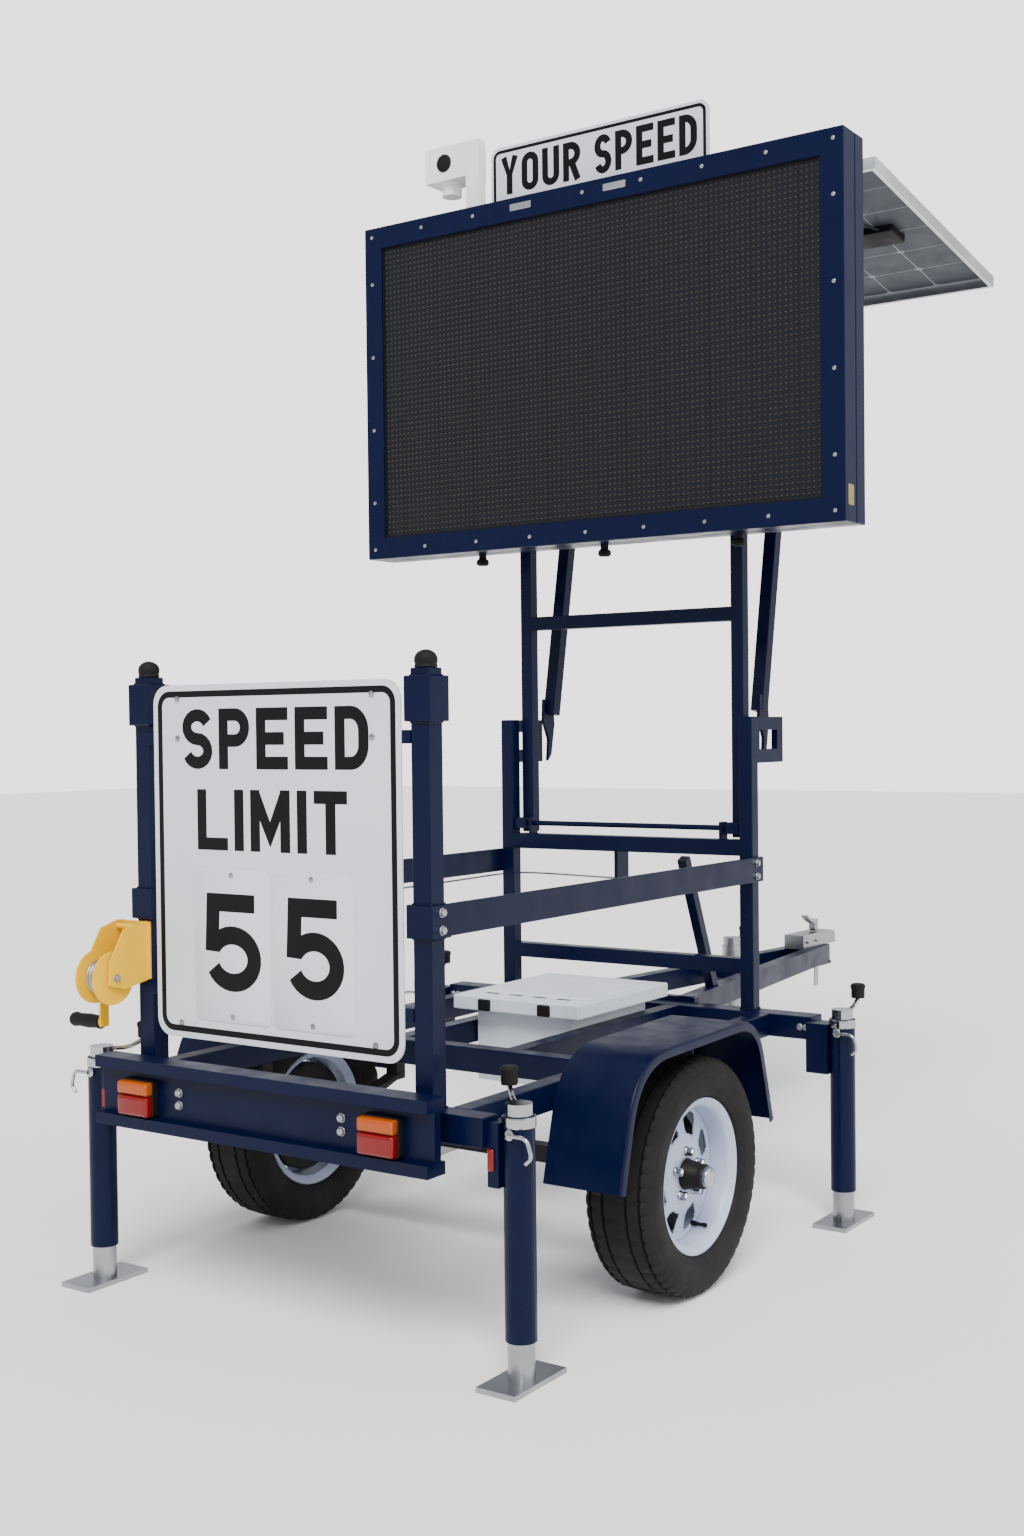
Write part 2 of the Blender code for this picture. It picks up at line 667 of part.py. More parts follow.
def jacks(trailer):
    stations = {"rear": (JACK_REAR, REAR_HALF, 0.75), "front": (JACK_FRONT, FRONT_HALF, 0.50)}
    for place_word, ((x, y), member_end, heading) in stations.items():
        for side, word in ((1, "right"), (-1, "left")):
            name = f"jack_{place_word}_{word}"
            turn = math.pi * (heading if side > 0 else 1 - heading)
            swivel = pivot(f"{name}_swivel", (side * member_end, y, SWIVEL_Z), trailer)
            hold(swivel, finish(jack_tube(side * x, y, member_end), f"{name}_tube", NAVY))
            slide = pivot(f"{name}_slide", (side * x, y, 0), swivel)
            hold(slide, finish(jack_leg(side * x, y), f"{name}_leg", STEEL))
            screw = pivot(f"{name}_screw", (side * x, y, JACK_TOP), swivel)
            hold(screw, finish(jack_crank(side * x, y, turn), f"{name}_crank", STEEL))


def drawbar_jack(trailer):
    """The hitch jack: a tube clamped in the drawbar's bridge, its crank head fixed on top."""
    x, y = 0.0, DRAWBAR_JACK_Y
    wall = LEG_RADIUS + GAP
    top, bottom = 0.655, 0.300
    profile = [(0, top), (JACK_RADIUS - 0.0008, top), (JACK_RADIUS - 0.0008, bottom), (wall, bottom),
               (wall, top - 0.006), (0, top - 0.006)]
    tube = turned(profile, 28, (x, y, 0))
    collar = rod((x, y, 0.5855), (x, y, 0.600), 0.048, sides=28)
    collar = cut(collar, rod((x, y, 0.570), (x, y, 0.615), wall + 0.001, 28))
    head = rod((x, y, top - 0.003), (x, y, top + 0.026), 0.030)
    arm = bar((x, y, top + 0.018), (x, y + CRANK_REACH, top + 0.018), (1, 0, 0), 0.020, 0.006, radius=0)
    knob = rod((x, y + CRANK_REACH - 0.010, top + 0.012), (x, y + CRANK_REACH - 0.010, top + 0.055), 0.018, 14)
    hold(trailer, finish(join(tube, collar, head, arm, knob), "drawbar_jack_tube", STEEL))
    slide = pivot("drawbar_jack_slide", (x, y, 0), trailer)
    leg = rod((x, y, 0.180), (x, y, 0.600), LEG_RADIUS, sides=28)
    foot = rod((x, y, 0.170), (x, y, 0.182), 0.075, sides=28)
    hold(slide, finish(join(leg, foot), "drawbar_jack_leg", STEEL))


# ---------------------------------------------------------------- winch and its cable
def winch_frame():
    """A bent plate frame on the left rear post, its two cheeks either side of the drum."""
    y_back = REAR_POST_Y - POST_HALF - GAP
    cheek = [(y_back, 0.795), (y_back, 0.938), (-0.030, 0.940), (-0.085, 0.925), (-0.130, 0.850),
             (-0.135, 0.795), (-0.085, 0.780)]
    base = block((WINCH_X[0], y_back - 0.005, 0.797), (WINCH_X[1] + 0.012, y_back, 0.937), radius=0)
    near = slab(cheek, 0.004, (WINCH_X[1] + 0.002, 0, 0), "YZ")
    far = slab(cheek, 0.004, (WINCH_X[0] + 0.002, 0, 0), "YZ")
    spacer = rod((WINCH_X[0] + 0.003, -0.030, 0.925), (WINCH_X[1] + 0.003, -0.030, 0.925), 0.007, 12)
    frame = join(base, near, far, spacer)
    slot = block((-0.484, y_back - 0.020, 0.845), (-0.456, y_back + 0.020, 0.912), radius=0)
    return cut(frame, slot)


def winch_drum():
    inside = (WINCH_X[0] + 0.004 + GAP, WINCH_X[1] - GAP)
    middle = (inside[0] + inside[1]) / 2
    half = (inside[1] - inside[0]) / 2
    profile = [(0, half), (0.012, half), (0.012, half - 0.006), (DRUM_RADIUS, half - 0.006),
               (DRUM_RADIUS, half - 0.010), (0.034, half - 0.010), (0.034, -half + 0.010),
               (DRUM_RADIUS, -half + 0.010), (DRUM_RADIUS, -half + 0.006), (0.012, -half + 0.006),
               (0.012, -half), (0, -half)]
    return turned(profile, 32, (middle, *WINCH_AXIS), axis="X")


def winch_crank():
    """The pinion shaft's flat arm, hanging down, with its grip."""
    x = WINCH_X[0] - GAP
    y, z = PINION_AXIS
    shaft = rod((x, y, z), (x - 0.020, y, z), 0.010, sides=16)
    arm = block((x - 0.020, y - 0.013, z - WINCH_REACH - 0.012), (x - 0.014, y + 0.013, z + 0.014),
                radius=0)
    grip = rod((x - 0.016, y, z - WINCH_REACH), (x - 0.125, y, z - WINCH_REACH), 0.014, sides=16)
    return join(shaft, arm, grip)


def winch_cable():
    """From the drum forward under the left rail, round the front post and in to the beam's tie."""
    knots = [
        (-0.462, -0.070, 0.832), (-0.468, 0.010, 0.885), (-0.474, 0.090, 0.925), (-0.475, 0.350, 0.928),
        (-0.475, 0.800, 0.927), (-0.475, 1.250, 0.928), (-0.474, 1.540, 0.931), (-0.462, 1.625, 0.932),
        (-0.425, 1.655, 0.933), (-0.330, 1.660, 0.933), (-0.180, 1.655, 0.931), (-0.0475, 1.648, 0.929),
    ]
    return pipe(smooth_route(knots, 5), 0.003)


def winch(trailer):
    hold(trailer, finish(winch_frame(), "winch_frame", YELLOW))
    drum = pivot("winch_drum_axis", (-0.460, *WINCH_AXIS), trailer)
    hold(drum, finish(winch_drum(), "winch_drum", YELLOW))
    pinion = pivot("winch_pinion_axis", (-0.500, *PINION_AXIS), trailer)
    hold(pinion, finish(winch_crank(), "winch_crank", YELLOW))
    hold(trailer, finish(winch_cable(), "winch_cable", STEEL))


# ---------------------------------------------------------------- control box and hitch
def control_box(trailer):
    body = block((-BOX_X, BOX_Y[0], BOX_Z[0]), (BOX_X, BOX_Y[1], BOX_Z[1]), radius=0)
    inside = block((-BOX_X + 0.004, BOX_Y[0] + 0.004, BOX_Z[0] + 0.004),
                   (BOX_X - 0.004, BOX_Y[1] - 0.004, BOX_Z[1] + 0.020), radius=0)
    hold(trailer, finish(cut(body, inside), "control_box", BOX_GREY))
    hinge = pivot("box_lid_axis", (0, LID_Y[1], LID_Z[0]), trailer)
    lid = block((-LID_X, LID_Y[0], LID_Z[0]), (LID_X, LID_Y[1], LID_Z[1]), radius=0.004)
    hold(hinge, finish(lid, "box_lid", BOX_GREY))


def coupler(trailer):
    """The pressed ball coupling on the drawbar, with its latch lever on top."""
    base = 0.585 + GAP
    outline = [(COUPLER_Y[0], base), (COUPLER_Y[1], base), (COUPLER_Y[1], 0.618), (3.040, 0.632),
               (2.900, COUPLER_TOP), (COUPLER_Y[0], COUPLER_TOP)]
    body = slab(outline, 0.076, (0, 0, 0), "YZ")
    socket = rod((0, 3.020, base - 0.010), (0, 3.020, base + 0.032), 0.0265)
    hold(trailer, finish(cut(body, socket), "coupler", STEEL))
    axis = pivot("coupler_latch_axis", (0, *LATCH_AXIS), trailer)
    y, z = LATCH_AXIS
    lever = slab([(y - 0.014, z - 0.008), (y - 0.006, z - 0.0155), (y + 0.006, z - 0.0155),
                  (y + 0.014, z - 0.008), (y + 0.014, z + 0.028),
                  (y - 0.040, z + 0.034), (y - 0.075, z + 0.048), (y - 0.078, z + 0.040),
                  (y - 0.040, z + 0.020), (y - 0.014, z + 0.012)], 0.024, (0, 0, 0), "YZ")
    hold(axis, finish(lever, "coupler_latch", STEEL))


# ---------------------------------------------------------------- mast and message board
def mast_frame():
    """Two uprights with a rung and two board rails, and the lugs that turn on the pivot pin."""
    posts = [block(*sided(s, MAST_X, MAST_Y, (1.0705, MAST_TOP))) for s in (1, -1)]
    reach = MAST_X[0] + 0.010
    rung = block((-reach, MAST_Y[0] + 0.0005, 1.713), (reach, MAST_Y[1] - 0.0005, 1.755), radius=0)
    rails = [block((-MAST_X[1] + 0.001, CABINET_Y[1] + GAP, z), (MAST_X[1] - 0.001, MAST_Y[0] + 0.010, z + 0.040),
                   radius=0) for z in (2.080, 2.600)]
    lugs = [block(*sided(s, (MAST_X[0] + 0.001, MAST_X[1] - 0.001), (MAST_AXIS[0] - 0.017, MAST_Y[0] + 0.010),
                         (MAST_AXIS[1] - 0.017, MAST_AXIS[1] + 0.017)), radius=0) for s in (1, -1)]
    frame = join(posts[0], posts[1], rung, *rails, *lugs)
    bores = [rod((s * 0.345, *MAST_AXIS), (s * 0.405, *MAST_AXIS), MAST_PIN + GAP) for s in (1, -1)]
    return cut(frame, *bores)


def message_board(mast, trailer):
    cabinet = block((-BOARD_HALF, CABINET_Y[0], BOARD_Z[0]), (BOARD_HALF, CABINET_Y[1], BOARD_Z[1]))
    y, z = SOLAR_AXIS
    hinges = []
    for x in HINGES_X:
        begin = x + 0.040 + GAP
        hinges.append(rod((begin, y, z), (begin + 0.040, y, z), KNUCKLE_RADIUS))
        hinges.append(block((begin, CABINET_Y[1] - 0.010, z - 0.007), (begin + 0.040, y, z + 0.007), radius=0))
    hold(mast, finish(join(cabinet, *hinges), "board_cabinet", NAVY))
    door = pivot("board_door_axis", (0, 1.4455, BOARD_Z[1]), mast)
    ring = block((-BOARD_HALF, DOOR_Y[0], BOARD_Z[0]), (BOARD_HALF, DOOR_Y[1], BOARD_Z[1]))
    window = block((-WINDOW_HALF, DOOR_Y[0] - 0.02, WINDOW_Z[0]), (WINDOW_HALF, DOOR_Y[1] + 0.02, WINDOW_Z[1]),
                   radius=0)
    hold(door, finish(cut(ring, window), "board_door_frame", NAVY))
    display = block((-WINDOW_HALF + GAP, DOOR_Y[0] + 0.010, WINDOW_Z[0] + GAP),
                    (WINDOW_HALF - GAP, DOOR_Y[1] - 0.004, WINDOW_Z[1] - GAP), radius=0)
    hold(door, finish(display, "display_panel", BLACK))


def top_sign():
    back = CABINET_Y[1] + GAP
    outline = rounded(0.385, 2.930, 3.220, 0.030)
    return slab(outline, 0.006, (-0.035, back + 0.003, 0), "XZ")


def radar(mast):
    back = CABINET_Y[1] + GAP
    post = block((-0.520, back, 2.900), (-0.470, back + 0.040, 3.270), radius=0.002)
    head = block((-0.680, back + 0.001, 3.160), (-0.510, back + 0.100, 3.269), radius=0)
    lens = rod((-0.610, back + 0.050, 3.120), (-0.610, back + 0.050, 3.165), 0.032)
    hold(mast, finish(join(post, head, lens), "radar", SIGN_WHITE))


def panel_point(along, below, across=0.0):
    """A point of the solar panel, by its distance from the hinge and below the glass."""
    y, z = SOLAR_AXIS
    c, s = math.cos(SOLAR_DROP), math.sin(SOLAR_DROP)
    return (across, y + along * c - below * s, z - along * s - below * c)


def solar_block(x_range, along, below, radius=0.0):
    """A box in the panel's own directions: across, along its slope, and below its glass."""
    low = Vector((x_range[0], along[0], -below[1]))
    high = Vector((x_range[1], along[1], -below[0]))
    piece = block(low, high, radius)
    tilt = Matrix.Rotation(-SOLAR_DROP, 4, "X")
    piece.matrix_world = Matrix.Translation((0, *SOLAR_AXIS)) @ tilt @ piece.matrix_world
    return piece


def solar_panel(mast):
    hinge = pivot("solar_axis", (0, *SOLAR_AXIS), mast)
    span = (SOLAR_START, SOLAR_START + SOLAR_LONG)
    lift = -0.018
    frame = solar_block((-SOLAR_HALF, SOLAR_HALF), span, (lift, lift + SOLAR_THICK))
    rim_in = 0.012
    hole = solar_block((-SOLAR_HALF + rim_in, SOLAR_HALF - rim_in), (span[0] + rim_in, span[1] - rim_in),
                       (lift - 0.02, lift + SOLAR_THICK + 0.02))
    knuckles = []
    for x in HINGES_X:
        knuckles.append(rod((x, *SOLAR_AXIS), (x + 0.040, *SOLAR_AXIS), KNUCKLE_RADIUS))
        knuckles.append(solar_block((x, x + 0.040), (0.0, SOLAR_START + 0.006), (-0.006, 0.006)))
    hold(hinge, finish(join(cut(frame, hole), *knuckles), "solar_frame", STEEL))
    glass = solar_block((-SOLAR_HALF + rim_in + GAP, SOLAR_HALF - rim_in - GAP),
                        (span[0] + rim_in + GAP, span[1] - rim_in - GAP), (lift + 0.002, lift + 0.008))
    hold(hinge, finish(glass, "solar_laminate", SOLAR_BLUE))
    return hinge


def prop_frame():
    """Two legs with a cross bar, a head bar under the panel, and a hook plate at each foot."""
    foot_y, foot_z = PROP_FOOT
    head_z = 2.855
    head_y = foot_y + (head_z - foot_z) * PROP_LEAN
    legs = []
    for side in (1, -1):
        x = side * 0.375
        legs.append(bar((x, foot_y, foot_z), (x, head_y, head_z), (1, 0, 0), 0.040, 0.040, radius=0.002))
    head = rod((-0.394, head_y, head_z), (0.394, head_y, head_z), 0.014)
    cross_z = 2.300
    cross_y = foot_y + (cross_z - foot_z) * PROP_LEAN
    cross = bar((-0.370, cross_y, cross_z), (0.370, cross_y, cross_z), (0, 1, 0), 0.030, 0.030, radius=0)
    hook = [(foot_y - 0.030, foot_z + 0.050), (foot_y + 0.022, foot_z + 0.050), (foot_y + 0.030, foot_z - 0.030),
            (foot_y + 0.010, foot_z - 0.130), (foot_y - 0.010, foot_z - 0.150), (foot_y - 0.004, foot_z - 0.080),
            (foot_y - 0.034, foot_z - 0.020)]
    hooks = [slab(hook, 0.010, (side * 0.388, 0, 0), "YZ") for side in (1, -1)]
    return join(legs[0], legs[1], head, cross, *hooks)


def mast(trailer):
    axis = pivot("mast_axis", (0, *MAST_AXIS), trailer)
    hold(axis, finish(mast_frame(), "mast_frame", NAVY))
    pin = rod((-0.398, *MAST_AXIS), (0.398, *MAST_AXIS), MAST_PIN, sides=16)
    hold(trailer, finish(pin, "mast_pivot_pin", STEEL))
    message_board(axis, trailer)
    hold(axis, finish(top_sign(), "your_speed_sign", SIGN_WHITE))
    radar(axis)
    hinge = solar_panel(axis)
    prop = pivot("prop_axis", panel_point(PROP_AT, 0.052), hinge)
    hold(prop, finish(prop_frame(), "prop_frame", NAVY))


# ---------------------------------------------------------------- assembly
root = pivot("trailer", (0, 0, 0))
chassis(root)
uprights(root)
sign(root)
both_sides(tail_lamp, "tail_lamp", LAMP_RED, root)
running_gear(root)
jacks(root)
winch(root)
control_box(root)
coupler(root)
drawbar_jack(root)
mast(root)

REARMOST = WINCH_AXIS[0] - DRUM_RADIUS
root.location.y = -(REARMOST + COUPLER_Y[1]) / 2
bpy.context.view_layer.update()
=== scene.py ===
"""Speed display trailer: finishes, lamps, signs, LED matrix, tyres and small hardware.

Everything is placed in the CAD frame: X to the trailer's right, Y to its hitch, Z up, metres.
Stations along the trailer are counted from the back of the speed limit plate.
"""

import bmesh
import bpy
import numpy as np
from mathutils import Matrix, Vector


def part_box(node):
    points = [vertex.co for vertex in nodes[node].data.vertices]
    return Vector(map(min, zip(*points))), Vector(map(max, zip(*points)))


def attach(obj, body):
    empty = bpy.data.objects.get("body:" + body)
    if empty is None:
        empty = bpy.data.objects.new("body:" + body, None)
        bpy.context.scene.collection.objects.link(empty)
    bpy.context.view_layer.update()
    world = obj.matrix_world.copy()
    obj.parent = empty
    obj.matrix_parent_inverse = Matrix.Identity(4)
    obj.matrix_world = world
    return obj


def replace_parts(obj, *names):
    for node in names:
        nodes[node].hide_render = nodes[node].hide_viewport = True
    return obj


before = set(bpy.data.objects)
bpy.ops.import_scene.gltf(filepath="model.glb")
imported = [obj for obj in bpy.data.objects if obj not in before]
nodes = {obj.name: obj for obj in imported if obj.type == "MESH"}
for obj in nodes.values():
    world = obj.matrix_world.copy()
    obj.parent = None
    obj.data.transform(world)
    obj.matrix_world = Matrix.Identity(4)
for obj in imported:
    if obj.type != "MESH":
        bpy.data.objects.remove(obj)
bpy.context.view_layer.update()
MID = 0.5 * (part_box("winch_drum")[0].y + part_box("coupler")[1].y) + 1.4425


def put(node, name, value):
    """Set a node's input to a plain value."""
    node.inputs[name].default_value = value


# ---------------------------------------------------------------- camera, daylight and floor
# A standing photographer's view from behind the right rear corner, on a pale studio floor
# under one broad key light, a weaker fill and an even sky in front of a white backdrop.
def sun_light(name, direction, strength, angle):
    """A soft sun that shines along a direction; its angle sets how soft its shadows are."""
    lamp = bpy.data.lights.new(name, "SUN")
    lamp.energy = strength
    lamp.angle = angle
    lamp.color = (1.0, 0.985, 0.96)
    holder = bpy.data.objects.new(name, lamp)
    bpy.context.scene.collection.objects.link(holder)
    holder.rotation_mode = "QUATERNION"
    holder.rotation_quaternion = Vector(direction).to_track_quat("-Z", "Y")


sun_light("key", (-0.45, 0.75, -1.0), 4.4, 0.5)
sun_light("fill", (-0.9, -0.2, -0.35), 1.3, 1.2)

sky = bpy.data.worlds.new("sky")
sky.use_nodes = True
sky_tree = sky.node_tree
ambient = sky_tree.nodes["Background"]
put(ambient, "Color", (0.94, 0.96, 1.0, 1))
put(ambient, "Strength", 0.95)
backdrop = sky_tree.nodes.new("ShaderNodeBackground")
put(backdrop, "Color", (1.0, 1.0, 1.0, 1))
put(backdrop, "Strength", 2.4)
ray = sky_tree.nodes.new("ShaderNodeLightPath")
either = sky_tree.nodes.new("ShaderNodeMixShader")
sky_tree.links.new(ray.outputs["Is Camera Ray"], either.inputs[0])
sky_tree.links.new(ambient.outputs[0], either.inputs[1])
sky_tree.links.new(backdrop.outputs[0], either.inputs[2])
sky_tree.links.new(either.outputs[0], sky_tree.nodes["World Output"].inputs["Surface"])
bpy.context.scene.world = sky

EYE = (2.713, -2.982 - MID, 1.399)
TURN, PITCH, ROLL = np.radians((34.45, -1.29, -0.62))
forward = np.array((-np.sin(TURN) * np.cos(PITCH), np.cos(TURN) * np.cos(PITCH), np.sin(PITCH)))
level = np.array((np.cos(TURN), np.sin(TURN), 0.0))
upright = np.cross(level, forward)
right = level * np.cos(ROLL) + upright * np.sin(ROLL)
up = -level * np.sin(ROLL) + upright * np.cos(ROLL)
lens = bpy.data.cameras.new("camera")
lens.lens = 40.46
lens.sensor_width = 36.0
lens.dof.use_dof = False
camera = bpy.data.objects.new("camera", lens)
bpy.context.scene.collection.objects.link(camera)
pose = np.eye(4)
pose[:3, 0], pose[:3, 1], pose[:3, 2], pose[:3, 3] = right, up, -forward, EYE
camera.matrix_world = Matrix(pose.tolist())
bpy.context.scene.camera = camera


def plain(name):
    """A new Principled material and its node tree."""
    material = bpy.data.materials.new(name)
    material.use_nodes = True
    return material, material.node_tree, material.node_tree.nodes["Principled BSDF"]


def texture(tree, kind, scale, detail=None):
    """A noise, wave or cell texture in the piece's own coordinates."""
    node = tree.nodes.new(f"ShaderNodeTex{kind}")
    put(node, "Scale", scale)
    if detail:
        put(node, "Detail", detail)
    tree.links.new(tree.nodes.new("ShaderNodeTexCoord").outputs["Object"], node.inputs["Vector"])
    return node


def two_tone(tree, value, socket, dark, pale, low=0.0, high=1.0):
    """Colour a socket between two colours as a value runs from low to high."""
    tone = tree.nodes.new("ShaderNodeValToRGB")
    for end, colour, position in zip(tone.color_ramp.elements, (dark, pale), (low, high)):
        end.color, end.position = (*colour, 1), position
    tree.links.new(value, tone.inputs["Fac"])
    tree.links.new(tone.outputs["Color"], socket)


def relief(tree, shader, height, strength, distance):
    """Bump the shader's normal by a height."""
    bump = tree.nodes.new("ShaderNodeBump")
    put(bump, "Strength", strength)
    put(bump, "Distance", distance)
    tree.links.new(height, bump.inputs["Height"])
    tree.links.new(bump.outputs["Normal"], shader.inputs["Normal"])


floor_paint, tree, shader = plain("floor_paint")
put(shader, "Base Color", (0.86, 0.86, 0.86, 1))
put(shader, "Roughness", 0.85)
floor_mesh = bpy.data.meshes.new("floor")
floor_mesh.from_pydata([(-30, -30, 0), (30, -30, 0), (30, 30, 0), (-30, 30, 0)], [], [(0, 1, 2, 3)])
floor = bpy.data.objects.new("floor", floor_mesh)
bpy.context.scene.collection.objects.link(floor)
floor_mesh.materials.append(floor_paint)


# ---------------------------------------------------------------- blue frame paint
# Square tube frame, welded and sprayed with a satin navy enamel that has a faint orange peel
# and uneven gloss. The black parts near the ground carry a little road dust.
def enamel(name, colour, roughness, dust=0.0, peel=0.06, shine=0.16):
    """Colour mixed by broad noise, roughness by finer noise, dust by height above the ground,
    and a fine bump."""
    material, tree, shader = plain(name)
    add, link = tree.nodes.new, tree.links.new

    def noise(scale, detail):
        return texture(tree, "Noise", scale, detail).outputs["Fac"]

    def ramp(value, low, high, a, b):
        node = add("ShaderNodeMapRange")
        put(node, "From Min", low)
        put(node, "From Max", high)
        put(node, "To Min", a)
        put(node, "To Max", b)
        link(value, node.inputs["Value"])
        return node.outputs["Result"]

    def mix(factor, a, b):
        node = add("ShaderNodeMix")
        node.data_type = "RGBA"
        link(factor, node.inputs["Factor"])
        for socket, value in ((node.inputs[6], a), (node.inputs[7], b)):
            if isinstance(value, tuple):
                socket.default_value = (*value, 1)
            else:
                link(value, socket)
        return node.outputs[2]

    lighter = tuple(min(1.0, c * 1.28 + 0.0004) for c in colour)
    darker = tuple(c * 0.78 for c in colour)
    base = mix(noise(3.0, 4.0), darker, lighter)
    if dust:
        height = add("ShaderNodeSeparateXYZ")
        link(add("ShaderNodeTexCoord").outputs["Object"], height.inputs["Vector"])
        low = ramp(height.outputs["Z"], 0.62, 0.05, 0.0, dust)
        patch = add("ShaderNodeMath")
        patch.operation = "MULTIPLY"
        link(low, patch.inputs[0])
        link(noise(9.0, 5.0), patch.inputs[1])
        base = mix(patch.outputs["Value"], base, (0.34, 0.31, 0.27))
    link(base, shader.inputs["Base Color"])
    link(ramp(noise(14.0, 5.0), 0.3, 0.7, roughness - 0.07, roughness + 0.10), shader.inputs["Roughness"])
    put(shader, "Specular IOR Level", shine)
    relief(tree, shader, noise(420.0, 2.0), peel, 0.0006)
    return material


def dress(material, *names):
    """Give each CAD node this one material in place of its own."""
    for name in names:
        data = nodes[name].data
        data.materials.clear()
        data.materials.append(material)


navy = enamel("navy_enamel", (0.0006, 0.0027, 0.021), 0.32, shine=0.13)
dress(navy, "rear_cross_member", "front_cross_member", "chassis_rail_right", "chassis_rail_left",
      "box_cradle", "drawbar", "rear_post_right", "rear_post_left", "upper_rail_right", "upper_rail_left",
      "rear_light_bar", "front_gantry", "mudguard_right", "mudguard_left", "mast_frame", "prop_frame",
      "jack_rear_right_tube", "jack_rear_left_tube", "jack_front_right_tube", "jack_front_left_tube",
      "sign_bracket", "mast_pivot_pin")
cabinet_paint = enamel("cabinet_enamel", (0.0007, 0.0031, 0.024), 0.28, peel=0.04, shine=0.13)
dress(cabinet_paint, "board_cabinet", "board_door_frame")
chassis_black = enamel("chassis_black", (0.0045, 0.0045, 0.0055), 0.50, dust=0.03)
dress(chassis_black, "axle", "leaf_spring_right", "leaf_spring_left")


# ---------------------------------------------------------------- zinc plated hardware
# Jack legs, cranks, the ball coupling and every bolt are bright zinc with cloudy spangle
# and fine draw marks.
def plated(name, colour, roughness, cloud=6.0):
    """Two noises: cloudy patches for colour and roughness, stretched fine lines for the bump."""
    material, tree, shader = plain(name)
    add, link = tree.nodes.new, tree.links.new
    patch = texture(tree, "Noise", cloud, 6.0)
    two_tone(tree, patch.outputs["Fac"], shader.inputs["Base Color"], [c * 0.62 for c in colour], colour,
             0.30, 0.70)
    rough = add("ShaderNodeMapRange")
    put(rough, "To Min", roughness - 0.08)
    put(rough, "To Max", roughness + 0.14)
    link(patch.outputs["Fac"], rough.inputs["Value"])
    link(rough.outputs["Result"], shader.inputs["Roughness"])
    put(shader, "Metallic", 1.0)
    stretch = add("ShaderNodeMapping")
    put(stretch, "Scale", (900, 900, 30))
    link(add("ShaderNodeTexCoord").outputs["Object"], stretch.inputs["Vector"])
    lines = add("ShaderNodeTexNoise")
    put(lines, "Scale", 1.0)
    link(stretch.outputs["Vector"], lines.inputs["Vector"])
    relief(tree, shader, lines.outputs["Fac"], 0.06, 0.0004)
    return material


zinc = plated("zinc_plate", (0.40, 0.41, 0.43), 0.28)
chrome = plated("bright_plate", (0.52, 0.53, 0.55), 0.16, cloud=3.0)
brass = plated("brass", (0.62, 0.46, 0.18), 0.30)
JACKS = ("jack_rear_right", "jack_rear_left", "jack_front_right", "jack_front_left")
dress(zinc, "coupler", "coupler_latch", "drawbar_jack_tube", "drawbar_jack_leg")
dress(zinc, *[f"{jack}_leg" for jack in JACKS])
dress(chrome, *[f"{jack}_crank" for jack in JACKS])


def surface(name, vertices, faces, material, body, slot, smooth=True, closed=True):
    """A mesh piece from arrays of points and quads or triangles, riding on a body.

    The faces of a closed shape are turned to point out."""
    mesh = bpy.data.meshes.new(name)
    mesh.from_pydata(np.asarray(vertices, float).reshape(-1, 3).tolist(), [], np.asarray(faces).tolist()
                     if isinstance(faces, np.ndarray) else faces)
    mesh.materials.append(material)
    if closed:
        shape = bmesh.new()
        shape.from_mesh(mesh)
        bmesh.ops.recalc_face_normals(shape, faces=shape.faces[:])
        shape.to_mesh(mesh)
        shape.free()
    if smooth:
        mesh.shade_smooth()
        mesh.set_sharp_from_angle(angle=np.radians(35))
    piece = bpy.data.objects.new(name, mesh)
    bpy.context.scene.collection.objects.link(piece)
    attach(piece, body)
    return piece


def grid_faces(rows, columns, wrap_rows=False, wrap_columns=False):
    """Quads between neighbours of a rows by columns grid, row major, closed where asked."""
    i = np.arange(rows if wrap_rows else rows - 1)[:, None]
    j = np.arange(columns if wrap_columns else columns - 1)[None, :]
    i2, j2 = (i + 1) % rows, (j + 1) % columns
    return np.stack((i * columns + j, i * columns + j2, i2 * columns + j2, i2 * columns + j),
                    axis=-1).reshape(-1, 4)


def lathe(profile, axis, centre, sides):
    """Point(t, a) = centre + axis * h(t) + r(t) * (u cos a + v sin a), poles welded by a fan.

    The profile lists (radius, height) and begins and ends on the axis."""
    axis = np.asarray(axis, float) / np.linalg.norm(axis)
    helper = np.array((0, 0, 1.0)) if abs(axis[2]) < 0.9 else np.array((1.0, 0, 0))
    u = np.cross(helper, axis)
    u /= np.linalg.norm(u)
    v = np.cross(axis, u)
    inner = np.asarray(profile[1:-1], float)
    angle = np.arange(sides) * 2 * np.pi / sides
    ring = u * np.cos(angle)[:, None] + v * np.sin(angle)[:, None]
    body = inner[:, 1][:, None, None] * axis + inner[:, 0][:, None, None] * ring[None]
    points = np.concatenate((body.reshape(-1, 3), [axis * profile[0][1], axis * profile[-1][1]]))
    rows = len(inner)
    quads = grid_faces(rows, sides, wrap_columns=True)
    k = np.arange(sides)
    first = np.stack((np.full(sides, rows * sides), (k + 1) % sides, k), axis=-1)
    last = np.stack((np.full(sides, rows * sides + 1), (rows - 1) * sides + k,
                     (rows - 1) * sides + (k + 1) % sides), axis=-1)
    faces = first.tolist() + quads.tolist() + last.tolist()
    if profile[0][1] > profile[-1][1]:
        faces = [face[::-1] for face in faces]
    return points + np.asarray(centre, float), faces


def merged(parts):
    """Several (points, faces) bodies as one list of points and faces."""
    points, faces, base = [], [], 0
    for vertices, quads in parts:
        points.append(np.asarray(vertices, float).reshape(-1, 3))
        plain_lists = quads.tolist() if isinstance(quads, np.ndarray) else quads
        faces += [[base + k for k in face] for face in plain_lists]
        base += len(points[-1])
    return np.concatenate(points), faces


